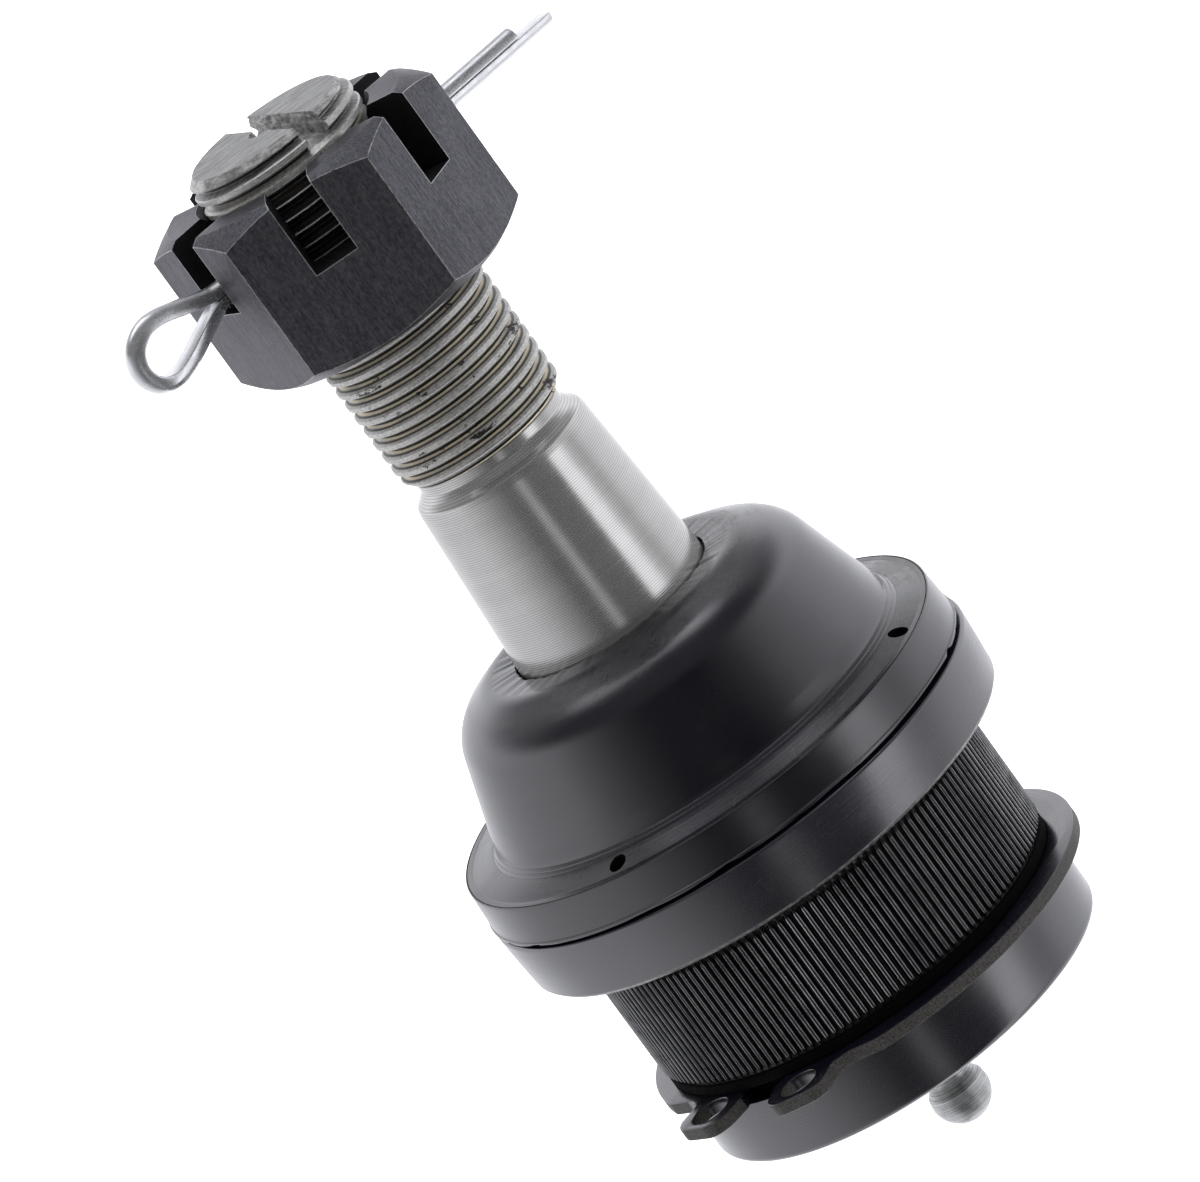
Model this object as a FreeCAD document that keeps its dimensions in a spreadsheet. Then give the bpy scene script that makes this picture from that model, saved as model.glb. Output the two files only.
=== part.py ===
import FreeCAD, Part
import math
import os
import Sketcher
from FreeCAD import Placement, Rotation, Vector

# Press-in suspension ball joint, in millimetres.
# +Z runs along the stud axis towards the nut. The origin is on that axis, in the plane of the
# flange's underside, which seats on the knuckle when the knurled body has been pressed in.

SIZES = {
    # ball and socket
    "ball_radius": 15.5,
    "ball_centre_drop": 2.9,
    "seat_clearance": 0.3,
    "throat_radius": 13.6,
    "throat_flare": 2.3,
    "half_ball_land": 1.665,
    "half_ball_split": 0.1,
    "stud_flat_depth": 0.9,
    "shank_radius": 9.0,
    "shank_clearance": 0.05,
    # pressed body
    "flange_radius": 28.2,
    "flange_draft": 0.45,
    "flange_edge": 0.6,
    "flange_thickness": 6.8,
    "flange_root": 0.15,
    "flange_ledge": 4.8,
    "collar_height": 2.9,
    "pilot_radius": 22.7,
    "pilot_edge": 0.9,
    "knurl_height": 0.2,
    "knurl_depth": 0.5,
    "knurl_crest": 0.16,
    "knurl_base": 0.8,
    "knurl_teeth": 154.0,
    "knurl_start": 0.9,
    "knurl_length": 14.5,
    "land_length": 1.2,
    "groove_depth": 1.8,
    # bottom stack
    "cavity_gap": 0.1,
    "plate_floor": 2.0,
    "plate_height": 11.7,
    "plate_hole_radius": 2.5,
    "spring_height": 1.5,
    "spring_thickness": 0.8,
    "spring_hole_radius": 8.8,
    "cover_step": 1.6,
    "cover_thickness": 2.4,
    "cover_dome_radius": 8.6,
    "cover_dome_slope": 3.8,
    "cover_dome_height": 3.0,
    "lip_cover": 1.9,
    "lip_thickness": 1.0,
    "sliding_gap": 0.1,
    # stud above the ball
    "shank_length": 21.3,
    "taper_run_in": 3.2,
    "taper_length": 24.2,
    "taper_top_radius": 9.85,
    "taper_slope": 0.0625,
    "shoulder_height": 1.3,
    "shoulder_inset": 0.9,
    "relief_fall": 0.9,
    "relief_depth": 1.1,
    "relief_length": 1.0,
    "thread_lead_in": 1.0,
    "thread_length": 36.9,
    "thread_radius": 9.45,
    "thread_pitch": 1.5875,
    "thread_depth": 0.93,
    "thread_root": 0.16,
    "thread_crest": 0.54,
    "thread_phase": 0.2535,
    "stud_chamfer": 1.05,
    "end_slot_width": 2.8,
    "end_slot_depth": 2.6,
    "end_slot_offset": 0.84,
    "end_slot_turn": 86.6,
    "centre_mark_radius": 1.8,
    "centre_mark_depth": 3.4,
    # slotted nut
    "nut_across": 28.575,
    "nut_setback": 21.5,
    "nut_height": 18.2,
    "nut_chamfer_inset": 0.6875,
    "nut_chamfer_slope": 0.577,
    "nut_slot_width": 4.76,
    "nut_slot_depth": 8.5,
    "nut_bore_clearance": 0.05,
    "nut_countersink": 0.7,
    # split pin
    "pin_angle": 22.9,
    "pin_radius": 1.33,
    "pin_split": 0.08,
    "pin_lift": 0.67,
    "pin_hole_gap": 0.42,
    "pin_tail": 12.9125,
    "pin_leg_step": 4.3,
    "pin_bend": 6.0,
    "eye_radius": 2.25,
    "eye_reach": 7.9625,
    "eye_angle": 17.2,
    # dust boot
    "rim_gap": 0.3,
    "rim_overhang": 0.1,
    "rim_draft": 0.6,
    "rim_height": 4.85,
    "rim_edge": 0.4,
    "rim_land": 2.7,
    "bell_root": 1.9,
    "bell_rise": 2.25,
    "bell_draft": 1.4,
    "bell_height": 4.8,
    "bell_shoulder_arc": 8.7,
    "bell_shoulder_height": 8.45,
    "neck_face": 3.6,
    "boot_wall": 2.2,
    "lip_length": 4.05,
    "lip_gap": 0.15,
    "vent_radius": 1.0,
    "vent_inset": 2.2,
    "vent_angle": 57.0,
    "vent_count": 4.0,
    # rings inside the boot
    "base_ring_cover": 0.8,
    "base_ring_thickness": 1.2,
    "base_ring_leg": 1.2,
    "base_ring_depth": 1.35,
    "rubber_gap": 0.2,
    "neck_ring_standoff": 2.5,
    "neck_ring_wire": 0.75,
    # snap ring
    "ring_play": 0.9,
    "ring_width": 3.3,
    "ring_thickness": 1.4,
    "ring_slack": 0.2,
    "ring_shift_x": 0.6,
    "ring_shift_y": -0.35,
    "ring_gap_angle": -134.5,
    "ring_gap": 6.0,
    "lug_swing": 14.0,
    "lug_width": 7.0,
    "lug_length": 3.1,
    "lug_corner": 2.2,
    "lug_hole_radius": 2.05,
    "lug_hole_inset": 2.8,
    "ring_waist_depth": 1.2,
    "ring_waist_swing": 28.0,
    "ring_waist_scallop": 6.0,
    # grease fitting
    "fitting_thread_radius": 3.15,
    "fitting_bore_gap": 0.05,
    "fitting_thread_length": 4.2,
    "hex_across": 7.94,
    "hex_height": 3.5,
    "fitting_neck_radius": 2.3,
    "fitting_neck_length": 2.1,
    "head_radius": 3.25,
    "head_cheek": 1.1,
    "head_band": 0.9,
    "head_nose": 2.95,
    "head_nose_radius": 1.7,
    "fitting_bore_radius": 1.15,
    "mouth_radius": 0.65,
    "mouth_depth": 0.9,
    "check_ball_play": 0.2,
    "check_ball_gap": 0.06,
    "check_spring_wire": 0.14,
    "check_spring_play": 0.35,
    "check_spring_length": 4.5,
    "check_spring_turns": 6.0,
}

doc = FreeCAD.newDocument("ball_joint")
sheet = doc.addObject("Spreadsheet::Sheet", "Dims")
for row, (name, value) in enumerate(SIZES.items(), 1):
    sheet.set("A%d" % row, name)
    sheet.set("B%d" % row, str(value))
    sheet.setAlias("B%d" % row, name)
doc.recompute()


class Size:
    """A length that knows its value and the spreadsheet expression it comes from."""

    def __init__(self, value, text):
        self.value = value
        self.text = text

    def __add__(self, other):
        other = size(other)
        return Size(self.value + other.value, "(%s + %s)" % (self.text, other.text))

    def __sub__(self, other):
        other = size(other)
        return Size(self.value - other.value, "(%s - %s)" % (self.text, other.text))

    def __mul__(self, other):
        other = size(other)
        return Size(self.value * other.value, "(%s * %s)" % (self.text, other.text))

    def __truediv__(self, other):
        other = size(other)
        return Size(self.value / other.value, "(%s / %s)" % (self.text, other.text))

    def __neg__(self):
        return size(0) - self


def size(number):
    if isinstance(number, Size):
        return number
    return Size(float(number), repr(float(number)))


def root(square):
    return Size(math.sqrt(square.value), "sqrt(%s)" % square.text)


def side(radius, height):
    """The radius of a sphere's section at a height above its centre."""
    return root(radius * radius - height * height)


D = {name: Size(value, "Dims." + name) for name, value in SIZES.items()}
ZERO = size(0)
UP = Vector(0, 0, 1)


def bind(thing, path, length):
    thing.setExpression(path, length.text)


def origin(body, role):
    for feature in body.Origin.OriginFeatures:
        if feature.Role == role:
            return feature


def sketch_on(body, role, label):
    sketch = body.newObject("Sketcher::SketchObject", body.Name + "_" + label)
    sketch.AttachmentSupport = [(origin(body, role), "")]
    sketch.MapMode = "FlatFace"
    return sketch


def pin_point(sketch, geometry, end, x, y):
    """Fixes a vertex at two bound coordinates."""
    for kind, axis, length in (("DistanceX", -2, x), ("DistanceY", -1, y)):
        if length is ZERO:
            sketch.addConstraint(Sketcher.Constraint("PointOnObject", geometry, end, axis))
        else:
            index = sketch.addConstraint(
                Sketcher.Constraint(kind, -1, 1, geometry, end, length.value))
            bind(sketch, "Constraints[%d]" % index, length)


def segment(sketch, start, stop):
    """Adds the line or arc that leaves a corner. Returns its index and its two end codes."""
    a = Vector(start[0].value, start[1].value, 0)
    b = Vector(stop[0].value, stop[1].value, 0)
    if len(start) == 2:
        return sketch.addGeometry(Part.LineSegment(a, b)), 1, 2
    radius, turn = start[2], start[3]
    chord = b - a
    reach = math.sqrt(max(radius.value ** 2 - chord.Length ** 2 / 4, 0))
    left = Vector(-chord.y, chord.x, 0).normalize()
    centre = (a + b) * 0.5 + left * (reach * turn)
    first, last = (a, b) if turn > 0 else (b, a)
    begin = math.atan2(first.y - centre.y, first.x - centre.x)
    end = math.atan2(last.y - centre.y, last.x - centre.x)
    if end <= begin:
        end += 2 * math.pi
    circle = Part.Circle(centre, Vector(0, 0, 1), radius.value)
    index = sketch.addGeometry(Part.ArcOfCircle(circle, begin, end))
    return (index, 1, 2) if turn > 0 else (index, 2, 1)


def outline(sketch, corners, closed=True):
    """Draws an outline. A corner is (x, y) before a line and (x, y, radius, turn) before an arc,
    whose centre lies to the left of the way along it for a turn of 1."""
    count = len(corners)
    steps = count if closed else count - 1
    pieces = [segment(sketch, corners[i], corners[(i + 1) % count]) for i in range(steps)]
    for i, (index, first, last) in enumerate(pieces):
        pin_point(sketch, index, first, corners[i][0], corners[i][1])
        if closed or i + 1 < steps:
            after = pieces[(i + 1) % steps]
            sketch.addConstraint(
                Sketcher.Constraint("Coincident", index, last, after[0], after[1]))
        else:
            pin_point(sketch, index, last, corners[-1][0], corners[-1][1])
        if len(corners[i]) == 4:
            ring = sketch.addConstraint(
                Sketcher.Constraint("Radius", index, corners[i][2].value))
            bind(sketch, "Constraints[%d]" % ring, corners[i][2])


def disc(sketch, x, y, radius):
    """Draws a circle at bound coordinates."""
    place = Vector(x.value, y.value, 0)
    index = sketch.addGeometry(Part.Circle(place, Vector(0, 0, 1), radius.value))
    pin_point(sketch, index, 3, x, y)
    ring = sketch.addConstraint(Sketcher.Constraint("Radius", index, radius.value))
    bind(sketch, "Constraints[%d]" % ring, radius)


def rectangle(sketch, low_x, high_x, low_y, high_y):
    outline(sketch, [(low_x, low_y), (high_x, low_y), (high_x, high_y), (low_x, high_y)])


def place_sketch(sketch, height=None, angle=None):
    """Lifts a sketch off its plane and turns it about the plane's own normal."""
    if height is not None:
        bind(sketch, "AttachmentOffset.Base.z", height)
    if angle is not None:
        sketch.AttachmentOffset = Placement(Vector(0, 0, 0), Rotation(UP, 1))
        bind(sketch, "AttachmentOffset.Rotation.Angle", angle)


def turn_about_axis(thing, angle):
    """Turns a finished piece about the stud axis."""
    thing.Placement = Placement(Vector(0, 0, 0), Rotation(UP, 1))
    bind(thing, "Placement.Rotation.Angle", angle)


def new_body(name):
    body = doc.addObject("PartDesign::Body", name)
    body.Label = name
    return body


def feature(body, kind, label, sketch):
    made = body.newObject("PartDesign::" + kind, body.Name + "_" + label)
    made.Profile = sketch
    return made


def revolve(body, corners, label="turning", cut=False):
    sketch = sketch_on(body, "XZ_Plane", label + "_profile")
    outline(sketch, corners)
    doc.recompute()
    made = feature(body, "Groove" if cut else "Revolution", label, sketch)
    made.ReferenceAxis = (sketch, ["V_Axis"])
    made.Angle = 360
    doc.recompute()
    return made


def pad(body, sketch, length, label):
    made = feature(body, "Pad", label, sketch)
    bind(made, "Length", length)
    doc.recompute()
    return made


def pocket(body, sketch, length, label, both=False, upwards=False):
    """Cuts a sketch into the body: down from its plane, up from it, or both ways."""
    before = body.Shape.Volume
    made = feature(body, "Pocket", label, sketch)
    bind(made, "Length", length)
    made.Midplane = both
    made.Reversed = upwards
    doc.recompute()
    if not body.Shape.Volume < before:
        raise RuntimeError("%s cuts nothing" % made.Name)
    return made


def around(body, seed, count, label, turn=360.0):
    made = body.newObject("PartDesign::PolarPattern", body.Name + "_" + label)
    made.Originals = [seed]
    made.Axis = (origin(body, "Z_Axis"), [""])
    made.Angle = turn
    bind(made, "Occurrences", count)
    body.Tip = made
    doc.recompute()
    return made


# Levels and radii that several pieces share

ball_z = -D["ball_centre_drop"]
seat_radius = D["ball_radius"] + D["seat_clearance"]
throat_mouth_radius = D["throat_radius"] + D["throat_flare"]

flange_top = D["flange_thickness"]
collar_top = flange_top + D["collar_height"]
flange_foot_radius = D["flange_radius"] - D["flange_draft"]
collar_radius = D["flange_radius"] - D["flange_ledge"]
knurl_radius = D["pilot_radius"] + D["knurl_height"]
groove_radius = D["pilot_radius"] - D["groove_depth"]
knurl_foot = -(D["knurl_start"] + D["knurl_length"])
groove_roof = knurl_foot - D["land_length"]
groove_floor = groove_roof - D["ring_thickness"] - D["ring_slack"]

plate_foot = ball_z - seat_radius - D["plate_floor"]
cover_top = plate_foot - D["spring_height"]
cover_foot = cover_top - D["cover_thickness"]
body_foot = cover_foot - D["lip_thickness"]
dome_foot = cover_foot - D["cover_dome_height"]
cavity_radius = seat_radius + D["cavity_gap"]
cover_radius = cavity_radius + D["cover_step"]
lip_radius = cover_radius - D["lip_cover"]
cover_dome_foot = D["cover_dome_radius"] + D["cover_dome_slope"]

neck_top = ball_z + D["shank_length"]
taper_foot = neck_top + D["taper_run_in"]
taper_top = taper_foot + D["taper_length"]
relief_foot = taper_top + D["shoulder_height"] + D["relief_fall"]
relief_top = relief_foot + D["relief_length"]
thread_foot = relief_top + D["thread_lead_in"]
stud_end = thread_foot + D["thread_length"]
relief_radius = D["thread_radius"] - D["relief_depth"]

nut_foot = stud_end - D["nut_setback"]
nut_top = nut_foot + D["nut_height"]
slot_floor = nut_top - D["nut_slot_depth"]
pin_z = slot_floor + D["pin_radius"] + D["pin_lift"]
pin_short_end = D["nut_across"] / 2 + D["pin_tail"]
pin_long_end = pin_short_end + D["pin_leg_step"]
eye_centre = D["nut_across"] / 2 + D["eye_reach"]

rim_top = flange_top + D["rim_gap"] + D["rim_height"]
bell_foot = rim_top + D["bell_rise"]
bell_waist = bell_foot + D["bell_height"]
boot_top = bell_waist + D["bell_shoulder_height"]
lip_foot = boot_top - D["lip_length"]
rim_foot_radius = D["flange_radius"] + D["rim_overhang"]
rim_top_radius = rim_foot_radius - D["rim_draft"]
bell_root_radius = rim_top_radius - D["rim_land"]
bell_foot_radius = bell_root_radius - D["bell_root"]
bell_waist_radius = bell_foot_radius - D["bell_draft"]
base_ring_radius = rim_top_radius - D["base_ring_cover"]
base_ring_top = rim_top - D["base_ring_depth"]

ring_bore_radius = groove_radius + D["ring_play"]
ring_radius = ring_bore_radius + D["ring_width"]
lug_reach = ring_radius + D["lug_length"]


def taper_radius(height):
    return D["taper_top_radius"] + (taper_top - height) * D["taper_slope"]


neck_ring_radius = taper_radius(lip_foot) + D["neck_ring_standoff"]


# Pressed body: flange, knurl, ring groove, pilot and the spherical seat inside

def make_housing():
    body = new_body("housing")
    core = knurl_radius - D["knurl_depth"]
    throat_z = ball_z + side(seat_radius, D["throat_radius"])
    edge = D["flange_edge"]
    revolve(body, [
        (lip_radius, body_foot),
        (D["pilot_radius"] - D["pilot_edge"], body_foot, D["pilot_edge"], 1),
        (D["pilot_radius"], body_foot + D["pilot_edge"]),
        (D["pilot_radius"], groove_floor),
        (groove_radius, groove_floor),
        (groove_radius, groove_roof),
        (D["pilot_radius"], groove_roof),
        (D["pilot_radius"], knurl_foot),
        (core, knurl_foot),
        (core, -D["knurl_start"]),
        (knurl_radius + D["flange_root"], ZERO),
        (flange_foot_radius - edge, ZERO, edge, 1),
        (flange_foot_radius, edge),
        (D["flange_radius"], flange_top),
        (collar_radius, flange_top),
        (collar_radius, collar_top - edge),
        (collar_radius - edge, collar_top),
        (throat_mouth_radius, collar_top),
        (D["throat_radius"], throat_z, seat_radius, -1),
        (seat_radius, ball_z),
        (cavity_radius, ball_z),
        (cavity_radius, cover_top),
        (cover_radius, cover_top),
        (cover_radius, cover_foot),
        (lip_radius, cover_foot),
    ])
    tooth = sketch_on(body, "XY_Plane", "tooth_section")
    half_crest = D["knurl_crest"] / 2
    half_base = D["knurl_base"] / 2
    outline(tooth, [
        (core - D["seat_clearance"], -half_base),
        (knurl_radius, -half_crest),
        (knurl_radius, half_crest),
        (core - D["seat_clearance"], half_base),
    ])
    place_sketch(tooth, height=knurl_foot)
    doc.recompute()
    seed = pad(body, tooth, D["knurl_length"], "tooth")
    around(body, seed, D["knurl_teeth"], "knurl")
    return body


# Ball stud: lower half of the ball, shank, taper, threaded end

def cut_thread(body):
    """Winds the thread's groove from the relief out past the stud's end."""
    pitch = D["thread_pitch"]
    root_radius = D["thread_radius"] - D["thread_depth"]
    half_root = D["thread_root"] / 2
    half_mouth = (pitch - D["thread_crest"]) / 2
    over = D["thread_crest"] / 2
    flare = (half_mouth - half_root) / D["thread_depth"] * over
    start = relief_foot + D["thread_phase"]
    groove = sketch_on(body, "XZ_Plane", "thread_groove")
    outline(groove, [
        (root_radius, start - half_root),
        (D["thread_radius"] + over, start - half_mouth - flare),
        (D["thread_radius"] + over, start + half_mouth + flare),
        (root_radius, start + half_root),
    ])
    doc.recompute()
    thread = feature(body, "SubtractiveHelix", "thread", groove)
    thread.ReferenceAxis = (groove, ["V_Axis"])
    thread.Mode = "pitch-height-angle"
    bind(thread, "Pitch", pitch)
    bind(thread, "Height", stud_end + pitch - start)
    doc.recompute()


def make_ball_stud():
    body = new_body("ball_stud")
    shank = D["shank_radius"]
    flat = D["ball_radius"] - D["stud_flat_depth"]
    end = stud_end
    chamfer = D["stud_chamfer"]
    revolve(body, [
        (ZERO, ball_z - flat),
        (side(D["ball_radius"], flat), ball_z - flat, D["ball_radius"], 1),
        (D["ball_radius"], ball_z),
        (shank, ball_z),
        (shank, neck_top),
        (taper_radius(taper_foot), taper_foot),
        (D["taper_top_radius"], taper_top, D["shoulder_height"], 1),
        (D["taper_top_radius"] - D["shoulder_inset"], taper_top + D["shoulder_height"] * 0.85),
        (relief_radius, relief_foot),
        (relief_radius, relief_top),
        (D["thread_radius"], thread_foot),
        (D["thread_radius"], end - chamfer),
        (D["thread_radius"] - chamfer, end),
        (ZERO, end),
    ])
    mark = D["centre_mark_radius"]
    revolve(body, [
        (ZERO, end - D["centre_mark_depth"]),
        (mark, end),
        (mark, end + chamfer),
        (ZERO, end + chamfer),
    ], label="centre_mark", cut=True)
    slot = sketch_on(body, "XY_Plane", "slot_plan")
    reach = D["thread_radius"] + chamfer
    half = D["end_slot_width"] / 2
    rectangle(slot, -reach, reach, -D["end_slot_offset"] - half, half - D["end_slot_offset"])
    place_sketch(slot, height=end, angle=D["end_slot_turn"])
    doc.recompute()
    pocket(body, slot, D["end_slot_depth"], "end_slot")
    hole = sketch_on(body, "YZ_Plane", "pin_hole_plan")
    disc(hole, ZERO, pin_z, D["pin_radius"] + D["pin_hole_gap"])
    doc.recompute()
    pocket(body, hole, D["thread_radius"] * 3, "pin_hole", both=True)
    cut_thread(body)
    turn_about_axis(body, D["pin_angle"])
    return body


# Upper half of the ball: a sintered bearing that swings with the stud, which turns in its bore

def make_half_ball_bearing():
    body = new_body("half_ball_bearing")
    bore = D["shank_radius"] + D["shank_clearance"]
    low = D["half_ball_split"]
    rim = bore + D["half_ball_land"]
    top = side(D["ball_radius"], rim)
    revolve(body, [
        (bore, ball_z + low),
        (side(D["ball_radius"], low), ball_z + low, D["ball_radius"], 1),
        (rim, ball_z + top),
        (bore, ball_z + top),
    ])
    return body


# Pressure plate: cups the lower half of the ball and is pushed up by the disc spring

def make_pressure_plate():
    body = new_body("pressure_plate")
    outer = cavity_radius - D["sliding_gap"]
    rim = plate_foot + D["plate_height"]
    hole = D["plate_hole_radius"]
    revolve(body, [
        (hole, plate_foot),
        (outer, plate_foot),
        (outer, rim),
        (side(seat_radius, ball_z - rim), rim, seat_radius, -1),
        (hole, ball_z - side(seat_radius, hole)),
    ])
    return body


def make_disc_spring():
    body = new_body("disc_spring")
    outer = cavity_radius - D["sliding_gap"] * 3
    revolve(body, [
        (D["spring_hole_radius"], plate_foot - D["spring_thickness"]),
        (outer, cover_top),
        (outer, cover_top + D["spring_thickness"]),
        (D["spring_hole_radius"], plate_foot),
    ])
    return body


# Cover plate: held by the rolled lip at the foot of the body, domed outwards for the fitting

def make_cover_plate():
    body = new_body("cover_plate")
    bore = D["fitting_thread_radius"] + D["fitting_bore_gap"]
    revolve(body, [
        (bore, dome_foot),
        (D["cover_dome_radius"], dome_foot),
        (cover_dome_foot, cover_foot),
        (cover_radius - D["sliding_gap"], cover_foot),
        (cover_radius - D["sliding_gap"], cover_top),
        (cover_dome_foot - D["cover_thickness"] * 0.4, cover_top),
        (D["cover_dome_radius"] - D["cover_thickness"] * 0.4, dome_foot + D["cover_thickness"]),
        (bore, dome_foot + D["cover_thickness"]),
    ])
    return body


# Grease fitting: hexagon, neck and ball head, with a check ball and its spring in the bore

def make_grease_fitting():
    body = new_body("grease_fitting")
    hex_foot = dome_foot - D["hex_height"]
    neck_foot = hex_foot - D["fitting_neck_length"]
    cheek_foot = neck_foot - D["head_cheek"]
    band_foot = cheek_foot - D["head_band"]
    nose = band_foot - D["head_nose"]
    thread_top = dome_foot + D["fitting_thread_length"]
    bore = D["fitting_bore_radius"]
    revolve(body, [
        (D["mouth_radius"], nose),
        (D["head_nose_radius"], nose, D["head_radius"], 1),
        (D["head_radius"], band_foot),
        (D["head_radius"] - D["sliding_gap"], cheek_foot),
        (D["fitting_neck_radius"], neck_foot),
        (D["fitting_neck_radius"], hex_foot),
        (D["fitting_thread_radius"], hex_foot),
        (D["fitting_thread_radius"], thread_top),
        (bore, thread_top),
        (bore, nose + D["mouth_depth"]),
        (D["mouth_radius"], nose + D["mouth_depth"] - (bore - D["mouth_radius"])),
    ])
    flats = sketch_on(body, "XY_Plane", "hexagon")
    corner = D["hex_across"] / size(math.sqrt(3))
    half = D["hex_across"] / 2
    outline(flats, [
        (corner, ZERO), (corner / 2, half), (-(corner / 2), half),
        (-corner, ZERO), (-(corner / 2), -half), (corner / 2, -half),
    ])
    disc(flats, ZERO, ZERO, D["fitting_neck_radius"])
    place_sketch(flats, height=hex_foot)
    doc.recompute()
    pad(body, flats, D["hex_height"], "hexagon_pad")
    return body, nose


def make_check_ball(nose):
    radius = D["fitting_bore_radius"] - D["check_ball_play"]
    ball = doc.addObject("Part::Sphere", "check_ball")
    ball.Label = "check_ball"
    bind(ball, "Radius", radius)
    seat = nose + D["mouth_depth"] + side(radius, D["mouth_radius"])
    bind(ball, "Placement.Base.z", seat + D["check_ball_gap"])
    return ball, seat + radius + D["check_ball_gap"]


def make_check_spring(ball_top):
    radius = D["fitting_bore_radius"] - D["check_spring_play"]
    coil = doc.addObject("Part::Helix", "check_spring_path")
    bind(coil, "Radius", radius)
    bind(coil, "Height", D["check_spring_length"])
    bind(coil, "Pitch", D["check_spring_length"] / D["check_spring_turns"])
    wire = doc.addObject("Part::Circle", "check_spring_wire_section")
    bind(wire, "Radius", D["check_spring_wire"])
    wire.Placement = Placement(Vector(0, 0, 0), Rotation(Vector(1, 0, 0), 90))
    bind(wire, "Placement.Base.x", radius)
    spring = doc.addObject("Part::Sweep", "check_spring")
    spring.Label = "check_spring"
    spring.Sections = [wire]
    spring.Spine = (coil, [])
    spring.Solid = True
    spring.Frenet = True
    bind(spring, "Placement.Base.z", ball_top + D["check_spring_wire"] + D["check_ball_gap"])
    return spring


# Dust boot: rim over the flange, bell and thick neck that hugs the taper

def make_dust_boot():
    body = new_body("dust_boot")
    wall = D["boot_wall"]
    gap = D["rubber_gap"]
    foot = flange_top + D["rim_gap"]
    edge = D["rim_edge"]
    ring_side = collar_radius + D["base_ring_leg"] + gap * 2
    ring_low = base_ring_top - D["base_ring_thickness"] - gap
    ring_high = base_ring_top + gap
    ring_out = base_ring_radius + gap
    slot_in = neck_ring_radius - D["neck_ring_wire"] - gap
    slot_out = neck_ring_radius + D["neck_ring_wire"] + gap
    slot_roof = lip_foot + D["neck_ring_wire"] * 2 + gap
    inner_arc = D["bell_shoulder_arc"] - wall
    revolve(body, [
        (ring_side, foot),
        (rim_foot_radius, foot),
        (rim_top_radius, rim_top - edge),
        (rim_top_radius - edge, rim_top),
        (bell_root_radius, rim_top, wall, -1),
        (bell_foot_radius, bell_foot),
        (bell_waist_radius, bell_waist, D["bell_shoulder_arc"], 1),
        (taper_radius(boot_top) + D["neck_face"], boot_top),
        (taper_radius(boot_top) + D["lip_gap"], boot_top),
        (taper_radius(lip_foot) + D["lip_gap"], lip_foot),
        (slot_in, lip_foot),
        (slot_in, slot_roof),
        (slot_out, slot_roof),
        (slot_out, lip_foot + gap, inner_arc, -1),
        (bell_waist_radius - wall, bell_waist),
        (bell_foot_radius - wall, bell_foot),
        (bell_foot_radius - wall, ring_high),
        (ring_out, ring_high),
        (ring_out, ring_low),
        (ring_side, ring_low),
    ])
    vent = sketch_on(body, "XY_Plane", "vent_plan")
    disc(vent, rim_top_radius - D["vent_inset"], ZERO, D["vent_radius"])
    place_sketch(vent, height=rim_top + edge, angle=D["vent_angle"])
    doc.recompute()
    seed = pocket(body, vent, rim_top + edge - ring_high + gap, "vent")
    around(body, seed, D["vent_count"], "vents")
    return body


# Steel insert in the boot's rim, pressed on the collar

def make_boot_base_ring():
    body = new_body("boot_base_ring")
    inner = collar_radius + D["rubber_gap"] / 2
    leg = collar_radius + D["base_ring_leg"]
    top = base_ring_top
    revolve(body, [
        (inner, flange_top + D["rim_gap"] / 3),
        (leg, flange_top + D["rim_gap"] / 3),
        (leg, top - D["base_ring_thickness"]),
        (base_ring_radius, top - D["base_ring_thickness"]),
        (base_ring_radius, top),
        (inner, top),
    ])
    return body


def make_boot_neck_ring():
    ring = doc.addObject("Part::Torus", "boot_neck_ring")
    ring.Label = "boot_neck_ring"
    bind(ring, "Radius1", neck_ring_radius)
    bind(ring, "Radius2", D["neck_ring_wire"])
    bind(ring, "Placement.Base.z", lip_foot + D["neck_ring_wire"])
    return ring


# Snap ring: open ring with two drilled lugs, lying slightly to one side in its groove

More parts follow.
